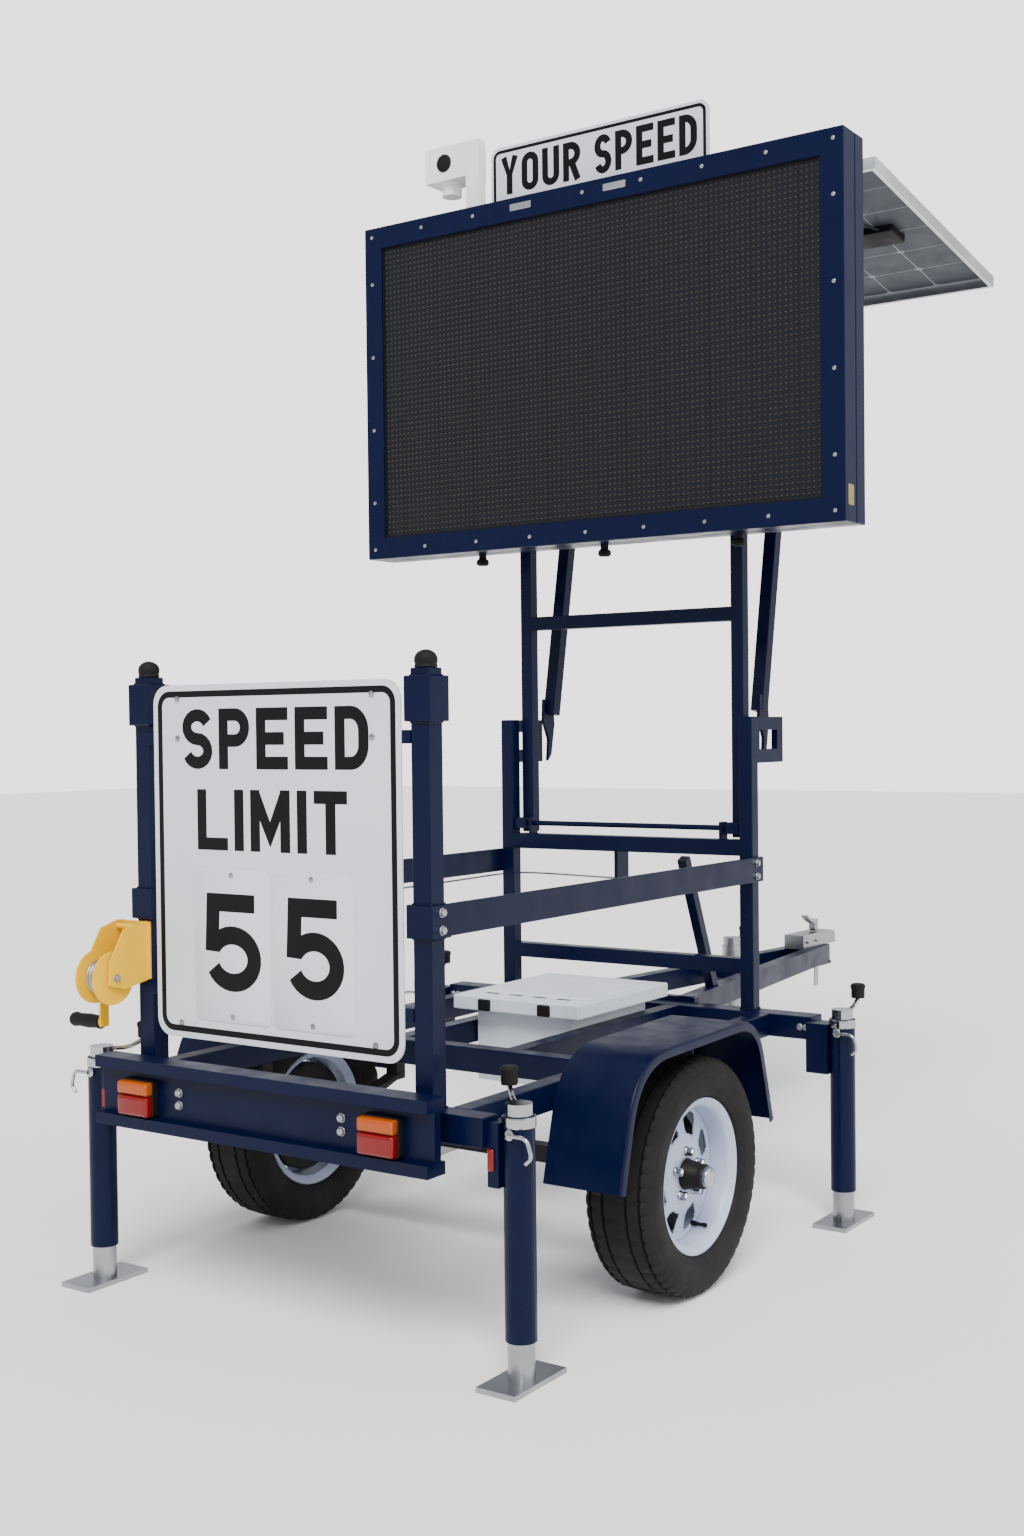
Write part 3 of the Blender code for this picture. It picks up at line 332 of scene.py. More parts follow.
def bolt(centre, axis, size):
    """A washer and a hexagon head with a chamfered crown; size is the thread's diameter."""
    s = size
    washer = lathe([(0, 0), (1.05 * s, 0), (1.1 * s, 0.03 * s), (1.1 * s, 0.13 * s), (1.05 * s, 0.17 * s),
                    (0, 0.17 * s)], axis, centre, 20)
    head = lathe([(0, 0.15 * s), (0.92 * s, 0.15 * s), (0.92 * s, 0.72 * s), (0.80 * s, 0.82 * s),
                  (0, 0.82 * s)], axis, centre, 6)
    return [washer, head]


def at(x, station, z):
    """A point given by its station along the trailer: Y is the station less the middle's."""
    return np.array((x, station - MID, z))


bolts = []
for side in (1, -1):
    for z in (1.001, 0.962):
        bolts += bolt(at(side * 0.4641, 0.0213, z), (side, 0, 0), 0.010)
        bolts += bolt(at(side * 0.4544, 1.570, z), (side, 0, 0), 0.010)
    for z in (0.515, 0.545):
        bolts += bolt(at(side * 0.250, -0.0720, z), (0, -1, 0), 0.010)
    for x in (0.605, 0.625):
        bolts += bolt(at(side * x, 1.530, 0.540), (0, -1, 0), 0.009)
    for station in (0.640, 0.880):
        bolts += bolt(at(side * 0.5101, station, 0.540), (side, 0, 0), 0.010)
surface("frame_bolts", *merged(bolts), zinc, "trailer", "zinc")

mast_bolts = []
for side in (1, -1):
    for z in (2.100, 2.620):
        mast_bolts += bolt(at(side * 0.375, 1.646, z), (0, 1, 0), 0.010)
    for x in (0.804, 0.300):
        for z in (1.970, 2.988):
            mast_bolts += bolt(at(side * x, 1.505, z), (0, 1, 0), 0.006)
surface("mast_bolts", *merged(mast_bolts), zinc, "mast", "zinc")


# ---------------------------------------------------------------- rubber rests
# Two turned rubber buffers on the rear posts that the folded board lands on.
rubber = enamel("black_rubber", (0.0050, 0.0050, 0.0056), 0.62, peel=0.35)
for side, word in ((1, "right"), (-1, "left")):
    low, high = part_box(f"rest_buffer_{word}")
    tall = high.z - low.z
    r = (high.x - low.x) / 2
    t = np.linspace(0, np.pi / 2, 10)
    crown = [(r * np.cos(a), tall * (0.45 + 0.55 * np.sin(a))) for a in t[:-1]]
    profile = [(0, 0), (r * 0.94, 0), (r, tall * 0.08), (r * 0.93, tall * 0.20), (r, tall * 0.32)]
    foot = ((low.x + high.x) / 2, (low.y + high.y) / 2, low.z)
    points, faces = lathe(profile + crown + [(0, tall)], (0, 0, 1), foot, 40)
    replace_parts(surface(f"buffer_{word}", points, faces, rubber, "trailer", "rubber"), f"rest_buffer_{word}")


# ---------------------------------------------------------------- speed limit plate
# A sheet aluminium sign with white retroreflective film, a printed border and legend, and two
# bolted numeral plates that can be swapped.
def sheeting(name, colour):
    """White film: faint fine vertical ribs of the reflective layer and soft grime."""
    material, tree, shader = plain(name)
    grime = texture(tree, "Noise", 2.4, 7.0)
    ribs = texture(tree, "Wave", 90.0)
    put(ribs, "Distortion", 0.4)
    stripe = tree.nodes.new("ShaderNodeMix")
    stripe.data_type = "RGBA"
    stripe.blend_type = "MULTIPLY"
    put(stripe, "Factor", 0.10)
    two_tone(tree, grime.outputs["Fac"], stripe.inputs[6], [c * 0.86 for c in colour], colour, 0.25, 0.75)
    tree.links.new(ribs.outputs["Color"], stripe.inputs[7])
    tree.links.new(stripe.outputs[2], shader.inputs["Base Color"])
    put(shader, "Roughness", 0.38)
    put(shader, "Coat Weight", 0.3)
    put(shader, "Coat Roughness", 0.25)
    return material


film = sheeting("reflective_white", (0.66, 0.69, 0.76))
ink = enamel("legend_black", (0.0035, 0.0035, 0.0042), 0.45, peel=0.05, shine=0.12)
dress(film, "speed_limit_sign", "your_speed_sign")


def rounded_ring(half_u, half_v, radius, steps=8):
    """A rounded rectangle: four arcs about the corners of the inner rectangle, anticlockwise."""
    begin = np.radians((-90, 0, 90, 180))[:, None]
    angle = begin + np.radians(90) * np.linspace(0, 1, steps + 1)[None]
    su = np.array((1, 1, -1, -1))[:, None]
    sv = np.array((-1, 1, 1, -1))[:, None]
    u = su * (half_u - radius) + radius * np.cos(angle)
    v = sv * (half_v - radius) + radius * np.sin(angle)
    return np.stack((u.ravel(), v.ravel()), axis=-1)


def plate(centre, u_axis, v_axis, half_u, half_v, radius, levels, steps=8):
    """A rounded plate: rings of (inset, height), each a smaller rounded rectangle, capped."""
    u_axis, v_axis = np.asarray(u_axis, float), np.asarray(v_axis, float)
    n = np.cross(u_axis, v_axis)
    rings = []
    for inset, height in levels:
        ring = rounded_ring(half_u - inset, half_v - inset, max(radius - inset, 0.0004), steps)
        rings.append(ring[:, :1] * u_axis + ring[:, 1:] * v_axis + height * n)
    count = len(rings[0])
    quads = grid_faces(len(rings), count, wrap_columns=True).tolist()
    top = list(range((len(rings) - 1) * count, len(rings) * count))
    bottom = list(range(count))[::-1]
    return np.concatenate(rings) + np.asarray(centre, float), quads + [top, bottom]


def ribbon(path, width, centre, u_axis, v_axis, thick, closed=False):
    """A flat stroke: path(s) plus or minus half the width along the mitred normal, extruded."""
    path = np.asarray(path, float)
    before = np.roll(path, 1, axis=0) if closed else np.vstack((2 * path[0] - path[1], path[:-1]))
    after = np.roll(path, -1, axis=0) if closed else np.vstack((path[1:], 2 * path[-1] - path[-2]))
    a = path - before
    b = after - path
    a /= np.linalg.norm(a, axis=1)[:, None]
    b /= np.linalg.norm(b, axis=1)[:, None]
    along = a + b
    along /= np.linalg.norm(along, axis=1)[:, None]
    normal = np.stack((-along[:, 1], along[:, 0]), axis=-1)
    cosine = np.clip((a * along).sum(1), 0.5, 1)
    edge = normal * (width / 2 / cosine)[:, None]
    left, other = path + edge, path - edge
    n = np.cross(u_axis, v_axis)

    def lift(flat, height):
        return flat[:, :1] * np.asarray(u_axis) + flat[:, 1:] * np.asarray(v_axis) + height * n

    sections = np.stack((lift(left, 0), lift(left, thick), lift(other, thick), lift(other, 0)), axis=1)
    faces = grid_faces(len(path), 4, wrap_rows=closed, wrap_columns=True)[:, ::-1].tolist()
    if not closed:
        last = 4 * (len(path) - 1)
        faces += [[3, 2, 1, 0], [last, last + 1, last + 2, last + 3]]
    return sections.reshape(-1, 3) + np.asarray(centre, float), faces


def arc(cx, cy, rx, ry, start, stop, count=14):
    """Point(a) = centre + (rx cos a, ry sin a), with a running evenly from start to stop."""
    a = np.radians(np.linspace(start, stop, count))
    return np.stack((cx + rx * np.cos(a), cy + ry * np.sin(a)), axis=-1)


def strokes(letter, w, t):
    """Centre lines of a plain highway capital in a box w wide and 1 tall, drawn t thick."""
    h = t / 2
    r = (1 - t) / 4
    bowl = (0.47, 1 - h)
    half = (bowl[1] - bowl[0]) / 2
    mid = (bowl[0] + bowl[1]) / 2
    round_w = min(half, w * 0.45)
    turn = min(0.26, 0.8 * (w - t))
    p_bowl = np.vstack(([(h, bowl[1])], arc(w - h - round_w, mid, round_w, half, 90, -90), [(h, bowl[0])]))
    table = {
        "S": [np.vstack((arc(w / 2, 1 - h - r, w / 2 - h, r, 20, 270),
                         arc(w / 2, h + r, w / 2 - h, r, 90, -160)[1:]))],
        "P": [[(h, 0), (h, 1)], p_bowl],
        "E": [[(h, 0), (h, 1)], [(h, 1 - h), (w, 1 - h)], [(h, 0.5), (w * 0.88, 0.5)], [(h, h), (w, h)]],
        "D": [[(h, 0), (h, 1)], np.vstack(([(h, 1 - h)], arc(w - h - turn, 1 - h - 0.28, turn, 0.28, 90, 0),
                                           arc(w - h - turn, h + 0.28, turn, 0.28, 0, -90), [(h, h)]))],
        "L": [[(h, 1), (h, 0)], [(h, h), (w, h)]],
        "I": [[(w / 2, 0), (w / 2, 1)]],
        "M": [[(h, 0), (h, 1)], [(h, 0.94), (w / 2, 0.28), (w - h, 0.94)], [(w - h, 0), (w - h, 1)]],
        "T": [[(0, 1 - h), (w, 1 - h)], [(w / 2, 0), (w / 2, 1)]],
        "Y": [[(h * 0.9, 1), (w / 2, 0.46), (w - h * 0.9, 1)], [(w / 2, 0), (w / 2, 0.50)]],
        "O": [np.vstack((arc(w / 2, 1 - h - (w / 2 - h), w / 2 - h, w / 2 - h, 0, 180),
                         arc(w / 2, h + (w / 2 - h), w / 2 - h, w / 2 - h, 180, 360)))],
        "U": [np.vstack(([(h, 1)], arc(w / 2, h + (w / 2 - h), w / 2 - h, w / 2 - h, 180, 360), [(w - h, 1)]))],
        "R": [[(h, 0), (h, 1)], p_bowl, [(w * 0.50, bowl[0]), (w - h * 0.9, 0)]],
        "5": [[(w - h * 0.9, 1 - h), (h * 1.3, 1 - h), (h * 1.05, 0.40)],
              arc(w / 2, 0.335, w / 2 - h, 0.335 - h, 152, -155, 28)],
    }
    return [np.asarray(stroke, float) for stroke in table[letter]], letter == "O"


LETTER_GAP = 0.22       # space between letters, as a share of a letter's width
PRINT_LIFT = 0.0004     # thickness of a printed stroke
OVERPRINT = 0.00015     # how much each later stroke of a letter stands above the one before


def legend(text, left, right_edge, low, high, y, thick_share):
    """Letters between two edges: equal widths (I narrower), evenly spaced, standing in XZ."""
    tall = high - low
    t = thick_share
    widths = np.array([t if letter == "I" else 1.25 if letter == "M" else 1.0 for letter in text])
    total = (right_edge - left) / tall
    fixed = sum(t for letter in text if letter == "I")
    free = sum(1.25 if letter == "M" else 1.0 for letter in text if letter != "I")
    unit = (total - fixed) / (free + LETTER_GAP * (len(text) - 1))
    x = left / tall
    parts = []
    for letter, width in zip(text, widths):
        w = t if letter == "I" else unit * width
        paths, closed = strokes(letter, w, t)
        for layer, path in enumerate(paths):
            parts.append(ribbon(path * tall, t * tall, (x * tall, y, low), (1, 0, 0), (0, 0, 1),
                                PRINT_LIFT + OVERPRINT * layer, closed))
        x += w + LETTER_GAP * unit
    return parts


sign_low, sign_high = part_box("speed_limit_sign")
face_y = sign_low.y
centre_z = (sign_low.z + sign_high.z) / 2
half_x, half_z = (sign_high.x - sign_low.x) / 2, (sign_high.z - sign_low.z) / 2
# u x v = (1,0,0) x (0,0,1) = -Y, so a plate or stroke rises out of the rear face
ring = rounded_ring(half_x - 0.022, half_z - 0.022, 0.030)
prints = [ribbon(ring, 0.015, (0, face_y, centre_z), (1, 0, 0), (0, 0, 1), 0.0004, True)]
prints += legend("SPEED", -0.284, 0.290, 1.312, 1.455, face_y, 0.205)
prints += legend("LIMIT", -0.238, 0.226, 1.120, 1.264, face_y, 0.205)
surface("limit_legend", *merged(prints), ink, "trailer", "sign_white")

NUMERAL_PLATE = 0.0018
screws = []
for number, (left, right_edge) in enumerate(((-0.252, -0.008), (-0.006, 0.243))):
    middle = (left + right_edge) / 2
    points, faces = plate((middle, face_y, 0.8945), (1, 0, 0), (0, 0, 1), (right_edge - left) / 2 - 0.001,
                          0.1825, 0.020, [(0.0006, 0), (0, 0.0004), (0, 0.0014), (0.0006, NUMERAL_PLATE)])
    surface(f"numeral_plate_{number + 1}", points, faces, film, "trailer", "sign_white")
    digit_left, digit_right = ((-0.217, -0.038), (0.040, 0.213))[number]
    points, faces = merged(legend("5", digit_left, digit_right, 0.787, 1.018, face_y - NUMERAL_PLATE, 0.185))
    surface(f"numeral_{number + 1}", points, faces, ink, "trailer", "sign_white")
    for z in (0.727, 1.062):
        screws.append(lathe([(0, 0), (0.0065, 0), (0.0060, 0.0022), (0.0035, 0.0034), (0, 0.0036)], (0, -1, 0),
                            (middle, face_y - NUMERAL_PLATE, z), 18))
for side in (1, -1):
    for z in (0.700, 1.385, 1.480):
        screws.append(lathe([(0, 0), (0.0075, 0), (0.0070, 0.0026), (0.0040, 0.0040), (0, 0.0042)], (0, -1, 0),
                            (side * 0.300, face_y, z), 18))
surface("sign_screws", *merged(screws), zinc, "trailer", "zinc")


# ---------------------------------------------------------------- upper sign
# The small plate above the board: the same film with a printed border and legend.
low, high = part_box("your_speed_sign")
middle_x, middle_z = (low.x + high.x) / 2, (low.z + high.z) / 2
rear_y = low.y
ring = rounded_ring((high.x - low.x) / 2 - 0.014, (high.z - low.z) / 2 - 0.014, 0.020)
prints = [ribbon(ring, 0.010, (middle_x, rear_y, middle_z), (1, 0, 0), (0, 0, 1), 0.0004, True)]
wide = high.x - low.x
prints += legend("YOUR", low.x + 0.050 * wide, low.x + 0.430 * wide, 3.070, 3.187, rear_y, 0.185)
prints += legend("SPEED", low.x + 0.495 * wide, low.x + 0.950 * wide, 3.070, 3.187, rear_y, 0.185)
surface("your_speed_legend", *merged(prints), ink, "mast", "sign_white")


# ---------------------------------------------------------------- LED matrix
# A matt black louvred panel with rows of small unlit lamps, built from eleven modules whose
# joints show as fine upright seams.
def matrix_black():
    """Near-black plastic: a wave along Z mixes two blacks and raises fine horizontal louvres."""
    material, tree, shader = plain("matrix_black")
    louvre = texture(tree, "Wave", 2 * np.pi / 0.0162 / 20 * 3.2)
    louvre.bands_direction = "Z"
    two_tone(tree, louvre.outputs["Fac"], shader.inputs["Base Color"], (0.0035, 0.0040, 0.0055),
             (0.0120, 0.0135, 0.0185))
    put(shader, "Roughness", 0.5)
    put(shader, "Specular IOR Level", 0.15)
    relief(tree, shader, louvre.outputs["Fac"], 0.4, 0.001)
    return material


matrix = matrix_black()
dress(matrix, "display_panel")
low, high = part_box("display_panel")
PITCH_LED = 0.0162
columns = int((high.x - low.x) / PITCH_LED)
rows = int((high.z - low.z) / PITCH_LED)
lamp_x = (np.arange(columns) - (columns - 1) / 2) * PITCH_LED + (low.x + high.x) / 2
lamp_z = (np.arange(rows) - (rows - 1) / 2) * PITCH_LED + (low.z + high.z) / 2
cx, cz = np.meshgrid(lamp_x, lamp_z)
angles = np.arange(8) * np.pi / 4
outer = np.stack((0.0044 * np.cos(angles), np.full(8, 0.0001), 0.0044 * np.sin(angles)), axis=-1)
dome = np.stack((0.0032 * np.cos(angles), np.full(8, -0.0018), 0.0032 * np.sin(angles)), axis=-1)
one = np.concatenate((outer, dome, [(0, -0.0034, 0)], [(0, 0.0001, 0)]))
ring8 = np.arange(8)
side_faces = np.stack((ring8, (ring8 + 1) % 8, 8 + (ring8 + 1) % 8), axis=-1)
side_faces2 = np.stack((ring8, 8 + (ring8 + 1) % 8, 8 + ring8), axis=-1)
cap = np.stack((8 + ring8, 8 + (ring8 + 1) % 8, np.full(8, 16)), axis=-1)
floor8 = np.stack(((ring8 + 1) % 8, ring8, np.full(8, 17)), axis=-1)
one_faces = np.concatenate((side_faces, side_faces2, cap, floor8))
centres = np.stack((cx.ravel(), np.full(cx.size, low.y), cz.ravel()), axis=-1)
points = (centres[:, None] + one[None]).reshape(-1, 3)
faces = (np.arange(len(centres))[:, None, None] * len(one) + one_faces[None]).reshape(-1, 3)

led_resin, tree, shader = plain("led_resin")
two_tone(tree, texture(tree, "Noise", 60.0).outputs["Fac"], shader.inputs["Base Color"],
         (0.0030, 0.0034, 0.0048), (0.0300, 0.0210, 0.0140))
put(shader, "Roughness", 0.30)
put(shader, "Specular IOR Level", 0.25)
surface("led_lamps", points, faces, led_resin, "board_door", "display")

seams = []
for x in np.arange(-5, 6) * (columns * PITCH_LED / 11):
    seams.append(plate(((low.x + high.x) / 2 + x, low.y, (low.z + high.z) / 2), (1, 0, 0), (0, 0, 1), 0.0008,
                       rows * PITCH_LED / 2, 0.0004, [(0, 0), (0, 0.0006)], steps=1))
surface("matrix_seams", *merged(seams), chassis_black, "board_door", "display")


# ---------------------------------------------------------------- board trim
# Screws round the door, a rubber seal in its window, two blank bright plates, the side catch and
# the rubber knobs under the cabinet.
low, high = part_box("board_door_frame")
trim = []
for x in np.linspace(low.x + 0.030, high.x - 0.030, 9):
    for z in (low.z + 0.030, high.z - 0.030):
        trim.append(lathe([(0, 0), (0.0062, 0), (0.0055, 0.0020), (0.0030, 0.0032), (0, 0.0034)], (0, -1, 0),
                          (x, low.y, z), 16))
for z in np.linspace(low.z + 0.180, high.z - 0.180, 4):
    for x in (low.x + 0.030, high.x - 0.030):
        trim.append(lathe([(0, 0), (0.0062, 0), (0.0055, 0.0020), (0.0030, 0.0032), (0, 0.0034)], (0, -1, 0),
                          (x, low.y, z), 16))
surface("door_screws", *merged(trim), zinc, "board_door", "zinc")
blanks = []
for x in (-0.22, 0.11):
    blanks.append(plate((x, low.y, high.z - 0.030), (1, 0, 0), (0, 0, 1), 0.038, 0.010, 0.002,
                        [(0.0004, 0), (0, 0.0004), (0, 0.0010), (0.0006, 0.0014)]))
surface("blank_badges", *merged(blanks), chrome, "board_door", "zinc")
bead = ribbon(rounded_ring(0.7565, 0.4615, 0.012), 0.006, (0, low.y + 0.0095, 2.478), (1, 0, 0), (0, 0, 1),
              0.004, True)
surface("window_seal", *bead, rubber, "board_door", "rubber")
catch_plate = plate((high.x, 1.408 - MID, 2.024), (0, 1, 0), (0, 0, 1), 0.018, 0.028, 0.004,
                    [(0.0001, -0.0010), (0, 0), (0, 0.0001), (0.0001, 0.0002)])
catch_boss = lathe([(0, -0.0010), (0.011, -0.0010), (0.0108, 0.00025), (0.0100, 0.0003), (0, 0.0003)],
                   (1, 0, 0), (high.x, 1.408 - MID, 2.024), 24)
surface("door_catch", *merged([catch_plate, catch_boss]), brass, "board_door", "zinc")
knobs = []
for x in (-0.45, 0.0, 0.45):
    knobs.append(lathe([(0, 0), (0.012, 0), (0.012, 0.012), (0.019, 0.018), (0.020, 0.028), (0.015, 0.034),
                        (0, 0.035)], (0, 0, -1), (x, 1.478 - MID, 1.950), 24))
surface("transport_knobs", *merged(knobs), rubber, "mast", "rubber")


# ---------------------------------------------------------------- tail lamps
# Each lamp is a black base with a ribbed lens: amber for the upper part, red for the lower.
def lens_plastic(name, colour):
    """Deep clear plastic with ribs moulded inside."""
    material, tree, shader = plain(name)
    ribs = texture(tree, "Wave", 70.0)
    two_tone(tree, ribs.outputs["Fac"], shader.inputs["Base Color"], [c * 0.6 for c in colour], colour)
    put(shader, "Roughness", 0.14)
    put(shader, "Specular IOR Level", 0.25)
    put(shader, "Coat Weight", 0.25)
    put(shader, "Coat Roughness", 0.05)
    relief(tree, shader, ribs.outputs["Fac"], 0.35, 0.0008)
    return material


red_lens = lens_plastic("red_lens", (0.20, 0.0012, 0.0008))
amber_lens = lens_plastic("amber_lens", (0.42, 0.070, 0.0005))
for word in ("right", "left"):
    low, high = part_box(f"tail_lamp_{word}")
    x = (low.x + high.x) / 2
    z = (low.z + high.z) / 2
    hx, hz = (high.x - low.x) / 2, (high.z - low.z) / 2
    base = plate((x, high.y, z), (1, 0, 0), (0, 0, 1), hx, hz, 0.008,
                 [(0.001, 0), (0, 0.001), (0, 0.018), (0.0015, 0.0195)])
    lamp = surface(f"lamp_base_{word}", *base, rubber, "trailer", "lamp")
    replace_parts(lamp, f"tail_lamp_{word}")
    split = low.z + 0.60 * (high.z - low.z)
    deep = high.y - low.y
    for part, z0, z1, lens_look in (("red", low.z + 0.003, split - 0.0005, red_lens),
                                    ("amber", split + 0.0005, high.z - 0.003, amber_lens)):
        points, faces = plate((x, high.y, (z0 + z1) / 2), (1, 0, 0), (0, 0, 1), hx - 0.003, (z1 - z0) / 2,
                              0.006, [(0, 0.0190), (0, deep - 0.009), (0.002, deep - 0.004),
                                      (0.005, deep - 0.001), (0.009, deep)])
        surface(f"lamp_{part}_{word}", points, faces, lens_look, "trailer", "lamp")
    screw = [lathe([(0, deep - 0.001), (0.0040, deep - 0.001), (0.0036, deep - 0.0002), (0, deep)], (0, -1, 0),
                   (x, high.y, z0), 14) for z0 in (z - hz * 0.55, z + hz * 0.50)]
    surface(f"lamp_screws_{word}", *merged(screw), zinc, "trailer", "zinc")

# a black bracket on the front and a small reflector on the back of each rear jack's swivel plate
SWIVEL_PLATE_X = 0.5955
for word, side in (("right", 1), ("left", -1)):
    points, faces = plate((side * SWIVEL_PLATE_X, 0.0793 - MID, 0.485), (-1, 0, 0), (0, 0, 1), 0.014, 0.055,
                          0.008, [(0.001, 0), (0, 0.001), (0, 0.005), (0.001, 0.006)])
    surface(f"jack_bracket_{word}", points, faces, rubber, f"jack_rear_{word}_body", "rubber")
    points, faces = plate((side * SWIVEL_PLATE_X, 0.0107 - MID, 0.480), (1, 0, 0), (0, 0, 1), 0.008, 0.024,
                          0.004, [(0.0005, 0), (0, 0.001), (0, 0.004), (0.0020, 0.006)])
    surface(f"end_reflector_{word}", points, faces, red_lens, f"jack_rear_{word}_body", "lamp")


# ---------------------------------------------------------------- mudguards
# Each guard is one bent steel sheet with a rounded outer edge turned down into a lip; it is
# welded to brackets on the chassis rail and painted with the frame.
def guard_line():
    """Straights joined by two quadratic arcs: station and height along the guard."""
    corners = np.array(((0.335, 0.345), (0.415, 0.640), (1.035, 0.650), (1.118, 0.370)))
    t = np.linspace(0, 1, 18)[:, None]
    line = [corners[:1]]
    for before, corner, after, reach in zip(corners, corners[1:], corners[2:], (0.150, 0.110)):
        a = corner + (before - corner) / np.linalg.norm(before - corner) * reach
        b = corner + (after - corner) / np.linalg.norm(after - corner) * reach
        line.append(a * (1 - t) ** 2 + corner * 2 * t * (1 - t) + b * t**2)
    return np.vstack(line + [corners[3:]])


def guard_sheet(side, low, high):
    """Sheet(s, k) = line(s) + height(k) * its upward normal, at x(k) across the guard."""
    line = guard_line()
    run = np.gradient(line, axis=0)
    run /= np.linalg.norm(run, axis=1)[:, None]
    normal = np.stack((-run[:, 1], run[:, 0]), axis=-1)
    inner, outer = (low.x, high.x) if side > 0 else (high.x, low.x)
    turn = np.radians(np.linspace(90, 0, 6))
    bend, sheet = 0.0065, 0.0030
    edge = [(-bend + bend * np.cos(a), 0.0015 - bend + bend * np.sin(a)) for a in turn]
    back = [(-bend + (bend - sheet) * np.cos(a), 0.0015 - bend + (bend - sheet) * np.sin(a))
            for a in turn[::-1]]
    section = [(None, 0.0015)] + edge + [(0.0, -0.0215), (-sheet, -0.0215)] + back + [(None, -0.0015)]
    x = np.array([inner if u is None else outer + side * u for u, _ in section])
    lift = np.array([v for _, v in section])
    flat = line[:, None] + lift[None, :, None] * normal[:, None]
    points = np.concatenate((np.broadcast_to(x[None, :, None], flat.shape[:2] + (1,)), flat), axis=-1)
    points[..., 1] -= MID
    ring = len(section)
    faces = grid_faces(len(line), ring, wrap_columns=True).tolist()
    last = (len(line) - 1) * ring
    faces = [face if side < 0 else face[::-1] for face in faces]
    ends = [list(range(ring))[::-1], list(range(last, last + ring))]
    return points.reshape(-1, 3), faces + (ends if side < 0 else [end[::-1] for end in ends])


for word, side in (("right", 1), ("left", -1)):
    points, faces = guard_sheet(side, *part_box(f"mudguard_{word}"))
    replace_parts(surface(f"guard_{word}", points, faces, navy, "trailer", "navy"), f"mudguard_{word}")


# ---------------------------------------------------------------- tyres
# Radial road tyres: straight grooves round the tread, notched shoulders, a ribbed sidewall and a
# rounded bead that sits on the wheel's flange.
tyre_look = enamel("tyre_rubber", (0.0055, 0.0055, 0.0062), 0.70, dust=0.03, peel=0.5)
SPIN_STEPS = 216
for word, body in (("right", "wheel_right"), ("left", "wheel_left")):
    low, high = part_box(f"tyre_{word}")
    middle = np.array(((low.x + high.x) / 2, (low.y + high.y) / 2, (low.z + high.z) / 2))
    R = (high.z - low.z) / 2
    W = (high.x - low.x) / 2
    bead_r = 0.1926
    wall = [(bead_r, 0.78), (bead_r + 0.004, 0.86), (bead_r + 0.012, 0.92), (bead_r + 0.018, 0.925),
            (bead_r + 0.020, 0.945), (bead_r + 0.028, 0.965), (bead_r + 0.040, 0.990), (bead_r + 0.050, 1.0),
            (R - 0.040, 0.995), (R - 0.034, 0.985), (R - 0.033, 0.975), (R - 0.028, 0.970), (R - 0.020, 0.945),
            (R - 0.012, 0.900), (R - 0.006, 0.840)]
    tread = []
    for edge in (0.70, 0.32, -0.05):
        width = 0.065
        crown = R - 0.0035 * (edge / 0.8) ** 2
        tread += [(crown, edge + width), (crown - 0.0070, edge + width * 0.75),
                  (crown - 0.0070, edge - width * 0.1), (crown, edge - width * 0.35)]
    half = wall + [t for t in tread if t[1] > 0.02]
    profile = np.array([(r, x * W) for r, x in half] + [(r, -x * W) for r, x in half[::-1]])
    angle = np.arange(SPIN_STEPS) * 2 * np.pi / SPIN_STEPS
    r = profile[:, 0][:, None] * np.ones(SPIN_STEPS)[None]
    x = profile[:, 1][:, None] * np.ones(SPIN_STEPS)[None]
    shoulder = (np.abs(x) > 0.60 * W) & (r > R - 0.021)
    notch = (np.arange(SPIN_STEPS) % 4 == 0)[None]
    r = np.where(shoulder & notch, r - 0.0045, r)
    block_cut = ((np.arange(SPIN_STEPS) % 6 == 0)[None]) & (np.abs(x) < 0.60 * W) & (r > R - 0.006)
    r = np.where(block_cut, r - 0.0028, r)
    points = np.stack((x, r * np.cos(angle), r * np.sin(angle)), axis=-1).reshape(-1, 3) + middle
    faces = grid_faces(len(profile), SPIN_STEPS, wrap_rows=True, wrap_columns=True)
    tyre = surface(f"road_tyre_{word}", points, faces, tyre_look, body, "tyre")
    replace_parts(tyre, f"tyre_{word}")


# ---------------------------------------------------------------- wheels
# Pressed steel wheels in pale lacquer: a dished disc with eight windows welded in a barrel, on a
# black drum and bearing hub, with five nuts, a bright hub cap and a rubber valve. The black drum is
# painted shade: it fills the windows with dark where the hollow of the wheel is only in shade.
wheel_lacquer = enamel("wheel_lacquer", (0.36, 0.41, 0.54), 0.30, peel=0.05, shine=0.4)
WHEEL_STEPS = 160
STUD_CIRCLE = 0.0571     # radius of the ring of nuts
VALVE_CIRCLE = 0.158


